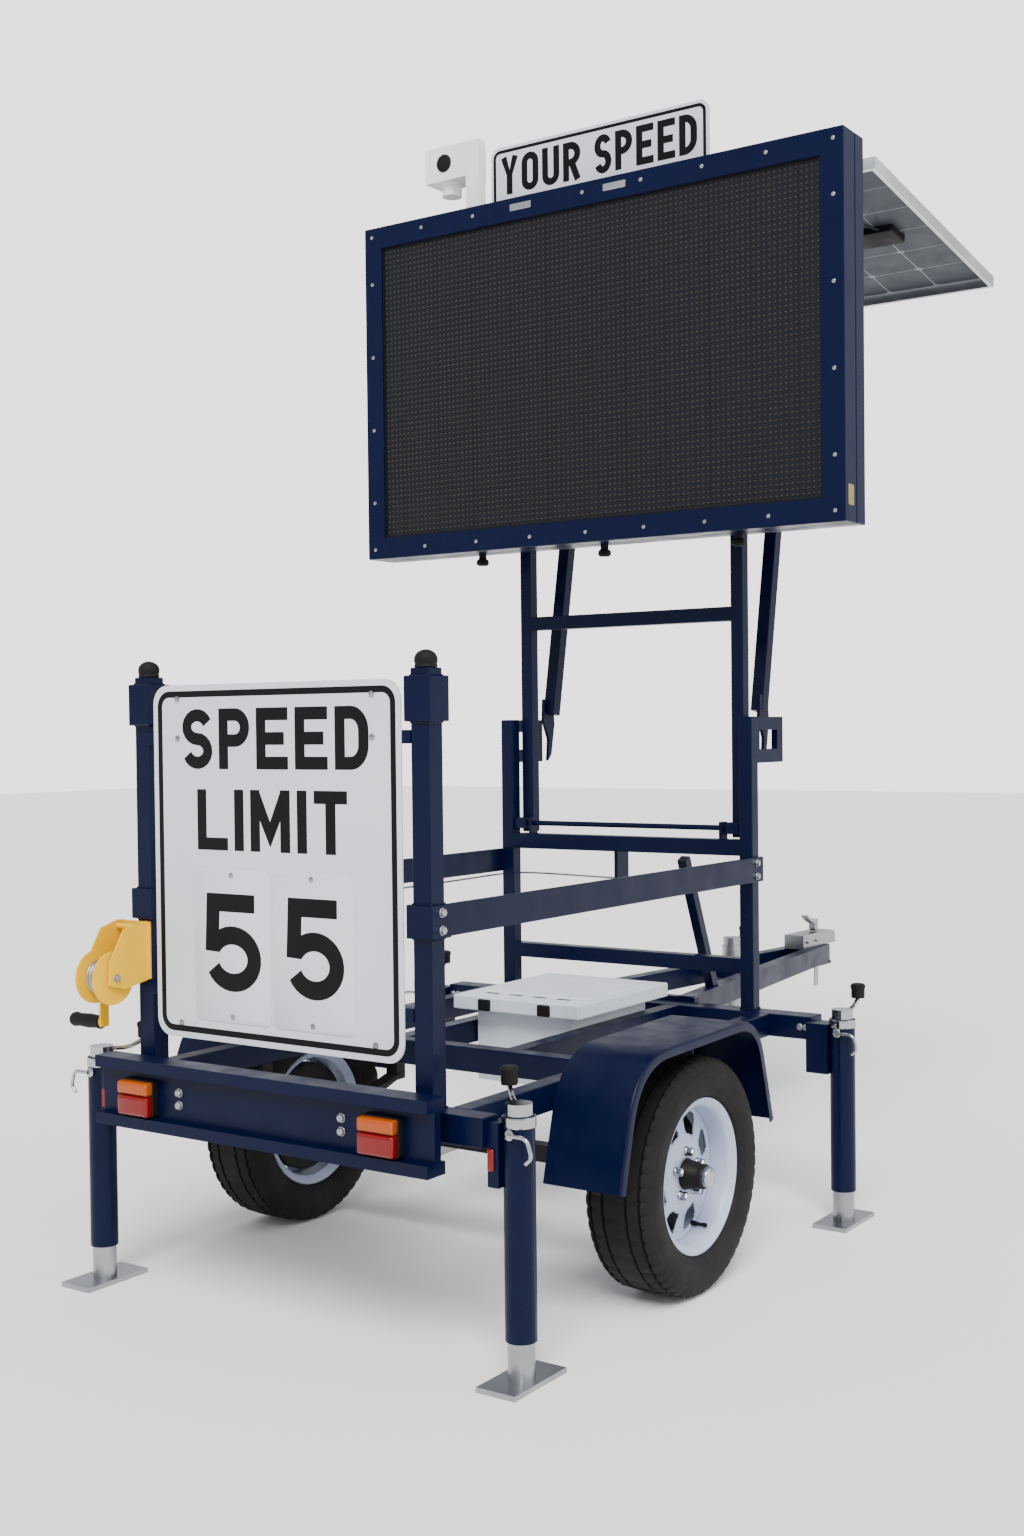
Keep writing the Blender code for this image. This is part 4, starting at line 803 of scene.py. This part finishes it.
def wheel_disc(side, middle):
    """Disc(r, a): a dished profile turned about the axle, without the faces of eight windows."""
    profile = np.array(((0.034, 0.034), (0.050, 0.0342), (0.066, 0.034), (0.074, 0.0325), (0.082, 0.0295),
                        (0.090, 0.0270), (0.098, 0.0245), (0.104, 0.0225), (0.112, 0.0200), (0.122, 0.0172),
                        (0.132, 0.0148), (0.142, 0.0126), (0.149, 0.0112), (0.156, 0.0105), (0.163, 0.0112),
                        (0.1690, 0.0130)))
    a = np.arange(WHEEL_STEPS) * 2 * np.pi / WHEEL_STEPS
    r, x = profile[:, :1], profile[:, 1:]
    points = np.stack((side * x * np.ones(WHEEL_STEPS), r * np.cos(a), r * np.sin(a)), axis=-1)
    quads = grid_faces(len(profile), WHEEL_STEPS, wrap_columns=True)
    ring = np.repeat(np.arange(len(profile) - 1), WHEEL_STEPS)
    column = np.tile(np.arange(WHEEL_STEPS), len(profile) - 1)
    sector = np.abs((column + 0.5) % (WHEEL_STEPS / 8) - WHEEL_STEPS / 16)
    half_width = np.where((ring == 6) | (ring == 12), 5.0, 6.0)
    half_width = np.where((ring < 6) | (ring > 12), -1.0, half_width)
    kept = quads[sector > half_width]
    return points.reshape(-1, 3) + middle, kept[:, ::-1] if side > 0 else kept


def wheel_barrel(side, middle, half):
    """Barrel(s, a): a closed section with a flange on each edge, turned about the axle."""
    well = 0.1690
    skin = np.array(((well, -0.020), (well - 0.001, half - 0.022), (well + 0.004, half - 0.013),
                     (0.1820, half - 0.0065), (0.1880, half - 0.0030), (0.1915, half - 0.0040),
                     (0.1920, half - 0.0070),
                     (0.1900, half - 0.0100), (0.1840, half - 0.0130), (well + 0.008, half - 0.0200),
                     (well + 0.0035, half - 0.0290), (well + 0.0035, -half + 0.0240), (0.1860, -half + 0.0120),
                     (0.1915, -half + 0.0060), (0.1880, -half + 0.0030), (0.1800, -half + 0.0080),
                     (well - 0.001, -half + 0.0200)))
    a = np.arange(WHEEL_STEPS) * 2 * np.pi / WHEEL_STEPS
    r, x = skin[:, :1], skin[:, 1:]
    points = np.stack((side * x * np.ones(WHEEL_STEPS), r * np.cos(a), r * np.sin(a)), axis=-1)
    faces = grid_faces(len(skin), WHEEL_STEPS, wrap_rows=True, wrap_columns=True)
    return points.reshape(-1, 3) + middle, faces[:, ::-1] if side > 0 else faces


for word, side in (("right", 1), ("left", -1)):
    low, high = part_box(f"tyre_{word}")
    middle = np.array(((low.x + high.x) / 2, (low.y + high.y) / 2, (low.z + high.z) / 2))
    out = (side, 0, 0)
    barrel = surface(f"wheel_barrel_{word}", *wheel_barrel(side, middle, (high.x - low.x) / 2 * 0.86),
                     wheel_lacquer, f"wheel_{word}", "wheel")
    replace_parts(barrel, f"rim_{word}")
    disc = surface(f"wheel_disc_{word}", *wheel_disc(side, middle), wheel_lacquer, f"wheel_{word}", "wheel",
                   closed=False)
    pressed = disc.modifiers.new("pressed", "SOLIDIFY")
    pressed.thickness = 0.0045
    pressed.offset = -1.0
    hub = lathe([(0, 0.014), (0.0385, 0.014), (0.0385, 0.036), (0.0360, 0.040), (0.0345, 0.064), (0.031, 0.070),
                 (0.031, 0.086), (0.028, 0.090), (0, 0.090)], out, middle, 40)
    surface(f"bearing_hub_{word}", *hub, chassis_black, f"wheel_{word}", "black_steel")
    # a black drum behind the disc: painted shade, so the windows read as dark as the shaded hollow of the wheel
    shade_drum = lathe([(0, -0.047), (0.140, -0.047), (0.152, -0.044), (0.152, -0.016), (0.148, -0.012), (0, -0.012)],
                 out, middle, 48)
    surface(f"window_shade_drum_{word}", *shade_drum, chassis_black, f"wheel_{word}", "black_steel")
    cap_profile = [(0, 0.0895), (0.0262, 0.0895), (0.0262, 0.098)]
    dome = [(0.0262 * np.cos(a), 0.098 + 0.009 * np.sin(a)) for a in np.linspace(0.1, 1.45, 9)]
    cap = lathe(cap_profile + dome + [(0, 0.1072)], out, middle, 40)
    surface(f"hub_cap_{word}", *cap, chrome, f"wheel_{word}", "zinc")
    nuts = []
    for a in np.radians(90 + 72 * np.arange(5)):
        seat = middle + np.array((0, STUD_CIRCLE * np.cos(a), STUD_CIRCLE * np.sin(a)))
        nuts.append(lathe([(0, 0.033), (0.0125, 0.033), (0.0120, 0.037), (0.0105, 0.039), (0, 0.039)],
                          out, seat, 24))
        nuts.append(lathe([(0, 0.038), (0.0108, 0.038), (0.0108, 0.052), (0.0090, 0.0555), (0.0045, 0.0575),
                           (0, 0.058)], out, seat, 6))
    surface(f"wheel_nuts_{word}", *merged(nuts), chrome, f"wheel_{word}", "zinc")
    a = np.radians(-64)
    seat = middle + np.array((0, VALVE_CIRCLE * np.cos(a), VALVE_CIRCLE * np.sin(a)))
    stem = lathe([(0, 0.010), (0.0070, 0.010), (0.0060, 0.022), (0.0042, 0.030), (0.0042, 0.042),
                  (0.0052, 0.043), (0.0052, 0.052), (0, 0.053)], out, seat, 20)
    surface(f"valve_{word}", *stem, rubber, f"wheel_{word}", "rubber")


# ---------------------------------------------------------------- jack knobs and pins
# Black mushroom knobs turn on the crank ends; a bright swivel pin with a bent pull handle locks
# each jack upright.
def along(path, radius, sides=12):
    """Tube(s, a) = path(s) + radius(s) * (n cos a + b sin a), n carried along without twist."""
    path = np.asarray(path, float)
    radius = np.broadcast_to(np.asarray(radius, float), len(path))
    tangent = np.gradient(path, axis=0)
    tangent /= np.linalg.norm(tangent, axis=1)[:, None]
    guess = np.array((0, 0, 1.0)) if abs(tangent[0, 2]) < 0.9 else np.array((1.0, 0, 0))
    normal = [np.cross(tangent[0], guess)]
    for t in tangent[1:]:
        n = normal[-1] - t * (normal[-1] @ t)
        normal.append(n / np.linalg.norm(n))
    normal = np.array(normal)
    normal /= np.linalg.norm(normal, axis=1)[:, None]
    binormal = np.cross(tangent, normal)
    angle = np.arange(sides) * 2 * np.pi / sides
    ring = normal[:, None] * np.cos(angle)[None, :, None] + binormal[:, None] * np.sin(angle)[None, :, None]
    points = (path[:, None] + ring * radius[:, None, None]).reshape(-1, 3)
    faces = grid_faces(len(path), sides, wrap_columns=True).tolist()
    last = (len(path) - 1) * sides
    faces = [face[::-1] for face in faces]
    faces += [list(range(sides)), list(range(last, last + sides))[::-1]]
    return points, [face[::-1] for face in faces]


def soft_line(corners):
    """Corners joined by straights, with each corner rounded by a quadratic arc."""
    corners = np.asarray(corners, float)
    line = [corners[0]]
    t = np.linspace(0, 1, 8)[:, None]
    for a, b, c in zip(corners, corners[1:], corners[2:]):
        p, q = b + (a - b) * 0.35, b + (c - b) * 0.35
        line += list(p * (1 - t) ** 2 + 2 * b * t * (1 - t) + q * t**2)
    return np.array(line + [corners[-1]])


CRANK_REACH = 0.110
for jack in JACKS:
    side = 1 if "right" in jack else -1
    low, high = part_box(f"{jack}_crank")
    tube_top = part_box(f"{jack}_tube")[1].z
    leg_low, leg_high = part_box(f"{jack}_leg")
    x, y = (leg_low.x + leg_high.x) / 2, (leg_low.y + leg_high.y) / 2
    heading = np.radians(135 if side > 0 else 45) if "rear" in jack else np.radians(90)
    tip = np.array((x + CRANK_REACH * np.cos(heading), y + CRANK_REACH * np.sin(heading), high.z - 0.034))
    knob = lathe([(0, -0.0045), (0.0185, -0.0045), (0.0192, 0.004), (0.0192, 0.020), (0.0215, 0.027),
                  (0.0215, 0.031), (0.0160, 0.0360), (0, 0.0375)], (0, 0, 1), tip, 28)
    surface(f"{jack}_knob", *knob, rubber, f"{jack}_handle", "rubber")
    pull = soft_line([(x, y - 0.046, 0.540), (x + side * 0.050, y - 0.046, 0.540),
                      (x + side * 0.062, y - 0.046, 0.500), (x + side * 0.046, y - 0.046, 0.486)])
    rod = along(pull, 0.0045)
    collar = lathe([(0, 0), (0.012, 0), (0.012, 0.006), (0.009, 0.008), (0, 0.008)], (0, -1, 0),
                   (x, y - 0.0348, 0.540), 20)
    surface(f"{jack}_pin", *merged([rod, collar]), chrome, f"{jack}_body", "zinc")
    band = lathe([(0, -0.024), (0.0368, -0.024), (0.0374, -0.021), (0.0374, -0.004), (0.0368, -0.001),
                  (0, -0.001)], (0, 0, 1), (x, y, tube_top), 36)
    surface(f"{jack}_band", *band, chrome, f"{jack}_body", "zinc")


# ---------------------------------------------------------------- hand winch
# Yellow pressed winch with a black moulded grip on its crank and steel cable on the drum.
winch_paint = enamel("winch_yellow_paint", (0.78, 0.43, 0.0), 0.34, peel=0.06, shine=0.2)
dress(winch_paint, "winch_frame", "winch_drum", "winch_crank")
cable_steel = plated("cable_steel", (0.42, 0.43, 0.45), 0.38)
dress(cable_steel, "winch_cable")
low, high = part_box("winch_crank")
grip = lathe([(0, 0), (0.0150, 0), (0.0175, 0.004), (0.0160, 0.018), (0.0178, 0.045), (0.0160, 0.078),
              (0.0185, 0.094), (0.0160, 0.1015), (0, 0.102)], (-1, 0, 0),
             (low.x + 0.1010, (low.y + high.y) / 2, low.z + 0.0120), 28)
surface("winch_grip", *grip, rubber, "winch_crank", "rubber")
low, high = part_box("winch_drum")
y, z = (low.y + high.y) / 2, (low.z + high.z) / 2
turns = 6.5
s = np.linspace(0, 1, 260)
span = (high.x - 0.0150) - (low.x + 0.0150)
coil = np.stack((low.x + 0.0150 + span * s, y + 0.0375 * np.cos(2 * np.pi * turns * s),
                 z + 0.0375 * np.sin(2 * np.pi * turns * s)), axis=-1)
wound = along(coil, 0.0032, sides=8)
surface("wound_cable", *wound, cable_steel, "winch_drum", "zinc")
low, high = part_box("winch_frame")
points, faces = merged(bolt((high.x - 0.0085, y, z), (1, 0, 0), 0.009)
                       + bolt((low.x, y, z), (-1, 0, 0), 0.0054))
surface("winch_nuts", points, faces, zinc, "trailer", "zinc")


# ---------------------------------------------------------------- control box
# A pale moulded box under the frame; its flat lid has two black latches and four vent slots drawn
# as raised black pads, which are painted shade in place of open slots.
def moulded(name, colour):
    """Grained grey plastic."""
    return enamel(name, colour, 0.52, peel=0.45)


box_plastic = moulded("box_plastic", (0.56, 0.60, 0.65))
white_plastic = moulded("white_plastic", (0.78, 0.79, 0.80))
dress(box_plastic, "control_box", "box_lid")
dress(white_plastic, "radar")
low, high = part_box("box_lid")
slot_shade_pads = []
# black pads on the lid: painted shade standing in for the dark inside the vent slots
for x in (-0.12, -0.04, 0.04, 0.12):
    slot_shade_pads.append(plate((x, low.y + 0.070, high.z), (1, 0, 0), (0, 1, 0), 0.022, 0.006, 0.0055,
                        [(0, 0), (0.0005, 0.0008), (0.002, 0.0012)]))
surface("lid_slot_shade", *merged(slot_shade_pads), rubber, "box_lid", "rubber")
rib = plate((0, (low.y + high.y) / 2 + 0.03, high.z), (1, 0, 0), (0, 1, 0), (high.x - low.x) / 2 - 0.030,
            (high.y - low.y) / 2 - 0.070, 0.020, [(0, 0), (0.001, 0.0015), (0.004, 0.0025), (0.010, 0.0028)])
surface("lid_crown", *rib, box_plastic, "box_lid", "box_plastic")
latches = []
for x in (-0.10, 0.10):
    latches.append(plate((x, low.y, low.z + 0.018), (1, 0, 0), (0, 0, 1), 0.020, 0.016, 0.004,
                         [(0.0008, 0), (0, 0.0008), (0, 0.006), (0.003, 0.009)]))
surface("lid_latches", *merged(latches), rubber, "box_lid", "rubber")


# ---------------------------------------------------------------- radar
# A small white housing on a post; its horn looks out through a round black window.
low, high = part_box("radar")
window = lathe([(0, 0), (0.028, 0), (0.0275, 0.003), (0.020, 0.006), (0, 0.007)], (0, -1, 0),
               (low.x + 0.075, 1.5063 - MID, high.z - 0.055), 32)
surface("radar_window", *window, rubber, "mast", "rubber")
points, faces = merged([lathe([(0, 0), (0.034, 0), (0.034, 0.008), (0.030, 0.011), (0, 0.011)], (0, 0, -1),
                              (low.x + 0.070, 1.5553 - MID, 3.160), 32)])
surface("radar_collar", points, faces, white_plastic, "mast", "box_plastic")


# ---------------------------------------------------------------- solar panel
# Sixty square cells with clipped corners on a pale back sheet, bus ribbons, an anodised frame,
# and a black junction box with two leads on the underside.
anodised = plated("anodised_frame", (0.70, 0.71, 0.73), 0.34, cloud=3.0)
dress(anodised, "solar_frame")
back_sheet = moulded("back_sheet", (0.22, 0.23, 0.26))
dress(back_sheet, "solar_laminate")
DROP = np.radians(7.5)
HINGE = np.array((0.0, 1.575 - MID, 2.965))
slope = np.array((0, np.cos(DROP), -np.sin(DROP)))
skyward = np.array((0, np.sin(DROP), np.cos(DROP)))
START, LONG, HALF = 0.012, 0.990, 0.825
cell_glass, tree, shader = plain("cell_silicon")
two_tone(tree, texture(tree, "Voronoi", 70.0).outputs["Color"], shader.inputs["Base Color"],
         (0.010, 0.018, 0.050), (0.025, 0.045, 0.110))
put(shader, "Roughness", 0.12)
put(shader, "Coat Weight", 1.0)
under_cell = enamel("cell_underside", (0.040, 0.045, 0.055), 0.45, peel=0.05)

ACROSS, DOWN = 10, 6
pitch_u = (2 * HALF - 0.050) / ACROSS
pitch_v = (LONG - 0.050) / DOWN
u = (np.arange(ACROSS) - (ACROSS - 1) / 2) * pitch_u
v = START + LONG / 2 + (np.arange(DOWN) - (DOWN - 1) / 2) * pitch_v
uu, vv = np.meshgrid(u, v)
corner = 0.012
hu, hv = pitch_u / 2 - 0.0022, pitch_v / 2 - 0.0022
octagon = np.array([(hu - corner, -hv), (hu, corner - hv), (hu, hv - corner), (hu - corner, hv),
                    (corner - hu, hv), (-hu, hv - corner), (-hu, corner - hv), (corner - hu, -hv)])
flat = np.stack((uu.ravel(), vv.ravel()), axis=-1)[:, None] + octagon[None]
for name, height, look, facing in (("cells_top", 0.0165, cell_glass, 1),
                                   ("cells_under", 0.0097, under_cell, -1)):
    base = flat[..., :1] * np.array((1.0, 0, 0)) + flat[..., 1:] * slope + HINGE
    top = base + skyward * height
    bottom = base + skyward * (height - facing * 0.0004)
    both = np.concatenate((bottom, top), axis=1)
    ring = np.arange(8)
    sides = np.stack((ring, (ring + 1) % 8, 8 + (ring + 1) % 8, 8 + ring), axis=-1).tolist()
    shape = sides + [list(range(8, 16)), list(range(8))[::-1]]
    if facing < 0:
        shape = [face[::-1] for face in shape]
    faces = [[16 * k + i for i in face] for k in range(both.shape[0]) for face in shape]
    surface(name, both.reshape(-1, 3), faces, look, "solar_panel", "solar_glass", smooth=False)

ribbons = []
for x in (uu[0][:, None] + np.array((-0.052, 0.0, 0.052))[None]).ravel():
    centre = np.array((x, 0, 0)) + slope * (START + LONG / 2) + HINGE + skyward * 0.0165
    ribbons.append(plate(centre, (1, 0, 0), slope, 0.0008, LONG / 2 - 0.030, 0.0003,
                         [(0, 0), (0, 0.0003)], steps=1))
surface("bus_ribbons", *merged(ribbons), anodised, "solar_panel", "solar_alu")

box_centre = np.array((0.630, 0, 0)) + slope * 0.500 + HINGE + skyward * 0.0100
points, faces = plate(box_centre, (-1, 0, 0), slope, 0.070, 0.055, 0.008,
                      [(0.001, 0), (0, 0.001), (0, 0.016), (0.002, 0.020), (0.006, 0.021)])
surface("junction_box", points, faces, rubber, "solar_panel", "rubber")
leads = []
for shift in (-0.030, 0.030):
    start = box_centre + np.array((shift, 0, 0)) - skyward * 0.010 - slope * 0.050
    end = np.array((0.610 + shift, 0, 0)) + slope * 0.060 + HINGE - skyward * 0.002
    s = np.linspace(0, 1, 24)[:, None]
    sag = -skyward * 0.030 * (4 * s * (1 - s))
    leads.append(along(start * (1 - s) + end * s + sag, 0.0030, sides=8))
surface("panel_leads", *merged(leads), rubber, "solar_panel", "rubber")


# ---------------------------------------------------------------- hitch hardware
# Nuts through the coupling, the flat bar that hangs beside it, and the knob on the drawbar jack.
low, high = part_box("coupler")
fixings = []
for station in (2.815, 2.890):
    for side in (1, -1):
        fixings += bolt((side * 0.0380, station - MID, 0.612), (side, 0, 0), 0.009)
surface("coupler_bolts", *merged(fixings), zinc, "trailer", "zinc")
points, faces = plate((0.0525, 2.850 - MID, 0.487), (0, 1, 0), (0, 0, 1), 0.014, 0.040, 0.004,
                      [(0.0005, 0), (0, 0.0005), (0, 0.004), (0.0008, 0.005)])
surface("hanging_bar", points, faces, zinc, "trailer", "zinc")
low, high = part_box("drawbar_jack_tube")
knob = lathe([(0, -0.004), (0.0185, -0.004), (0.0195, 0.004), (0.0195, 0.026), (0.0220, 0.033), (0.0205, 0.040),
              (0, 0.0440)], (0, 0, 1), (0, high.y - 0.018, high.z - 0.043), 28)
surface("drawbar_jack_knob", *knob, rubber, "trailer", "rubber")


# ---------------------------------------------------------------- weld beads
# Rippled fillet welds where the posts stand on the cross members and the collars meet them.
def bead_line(corners, count, width):
    """A tube round a closed rectangle whose radius swells and shrinks along its length."""
    corners = np.asarray(corners, float)
    loop = np.vstack((corners, corners[:1]))
    lengths = np.r_[0, np.cumsum(np.linalg.norm(np.diff(loop, axis=0), axis=1))]
    s = np.linspace(0, lengths[-1], count)
    path = np.stack([np.interp(s, lengths, loop[:, k]) for k in range(3)], axis=-1)
    return along(path, width * (1 + 0.18 * np.sin(s / 0.0022)), sides=6)


welds = []
for side in (1, -1):
    x, y = side * 0.428, 0.0213 - MID
    for half, z in ((0.0252, 0.571), (0.0252, 1.417), (0.0252, 1.519), (0.0252, 0.943), (0.0252, 1.019)):
        welds.append(bead_line([(x - half, y - half, z), (x + half, y - half, z), (x + half, y + half, z),
                                (x - half, y + half, z)], 160, 0.0024))
    x0, x1 = sorted((side * 0.401, side * 0.444))
    welds.append(bead_line([(x0, 1.560 - MID, 0.572), (x1, 1.560 - MID, 0.572), (x1, 1.603 - MID, 0.572),
                            (x0, 1.603 - MID, 0.572)], 140, 0.0024))
surface("weld_beads", *merged(welds), navy, "trailer", "navy")
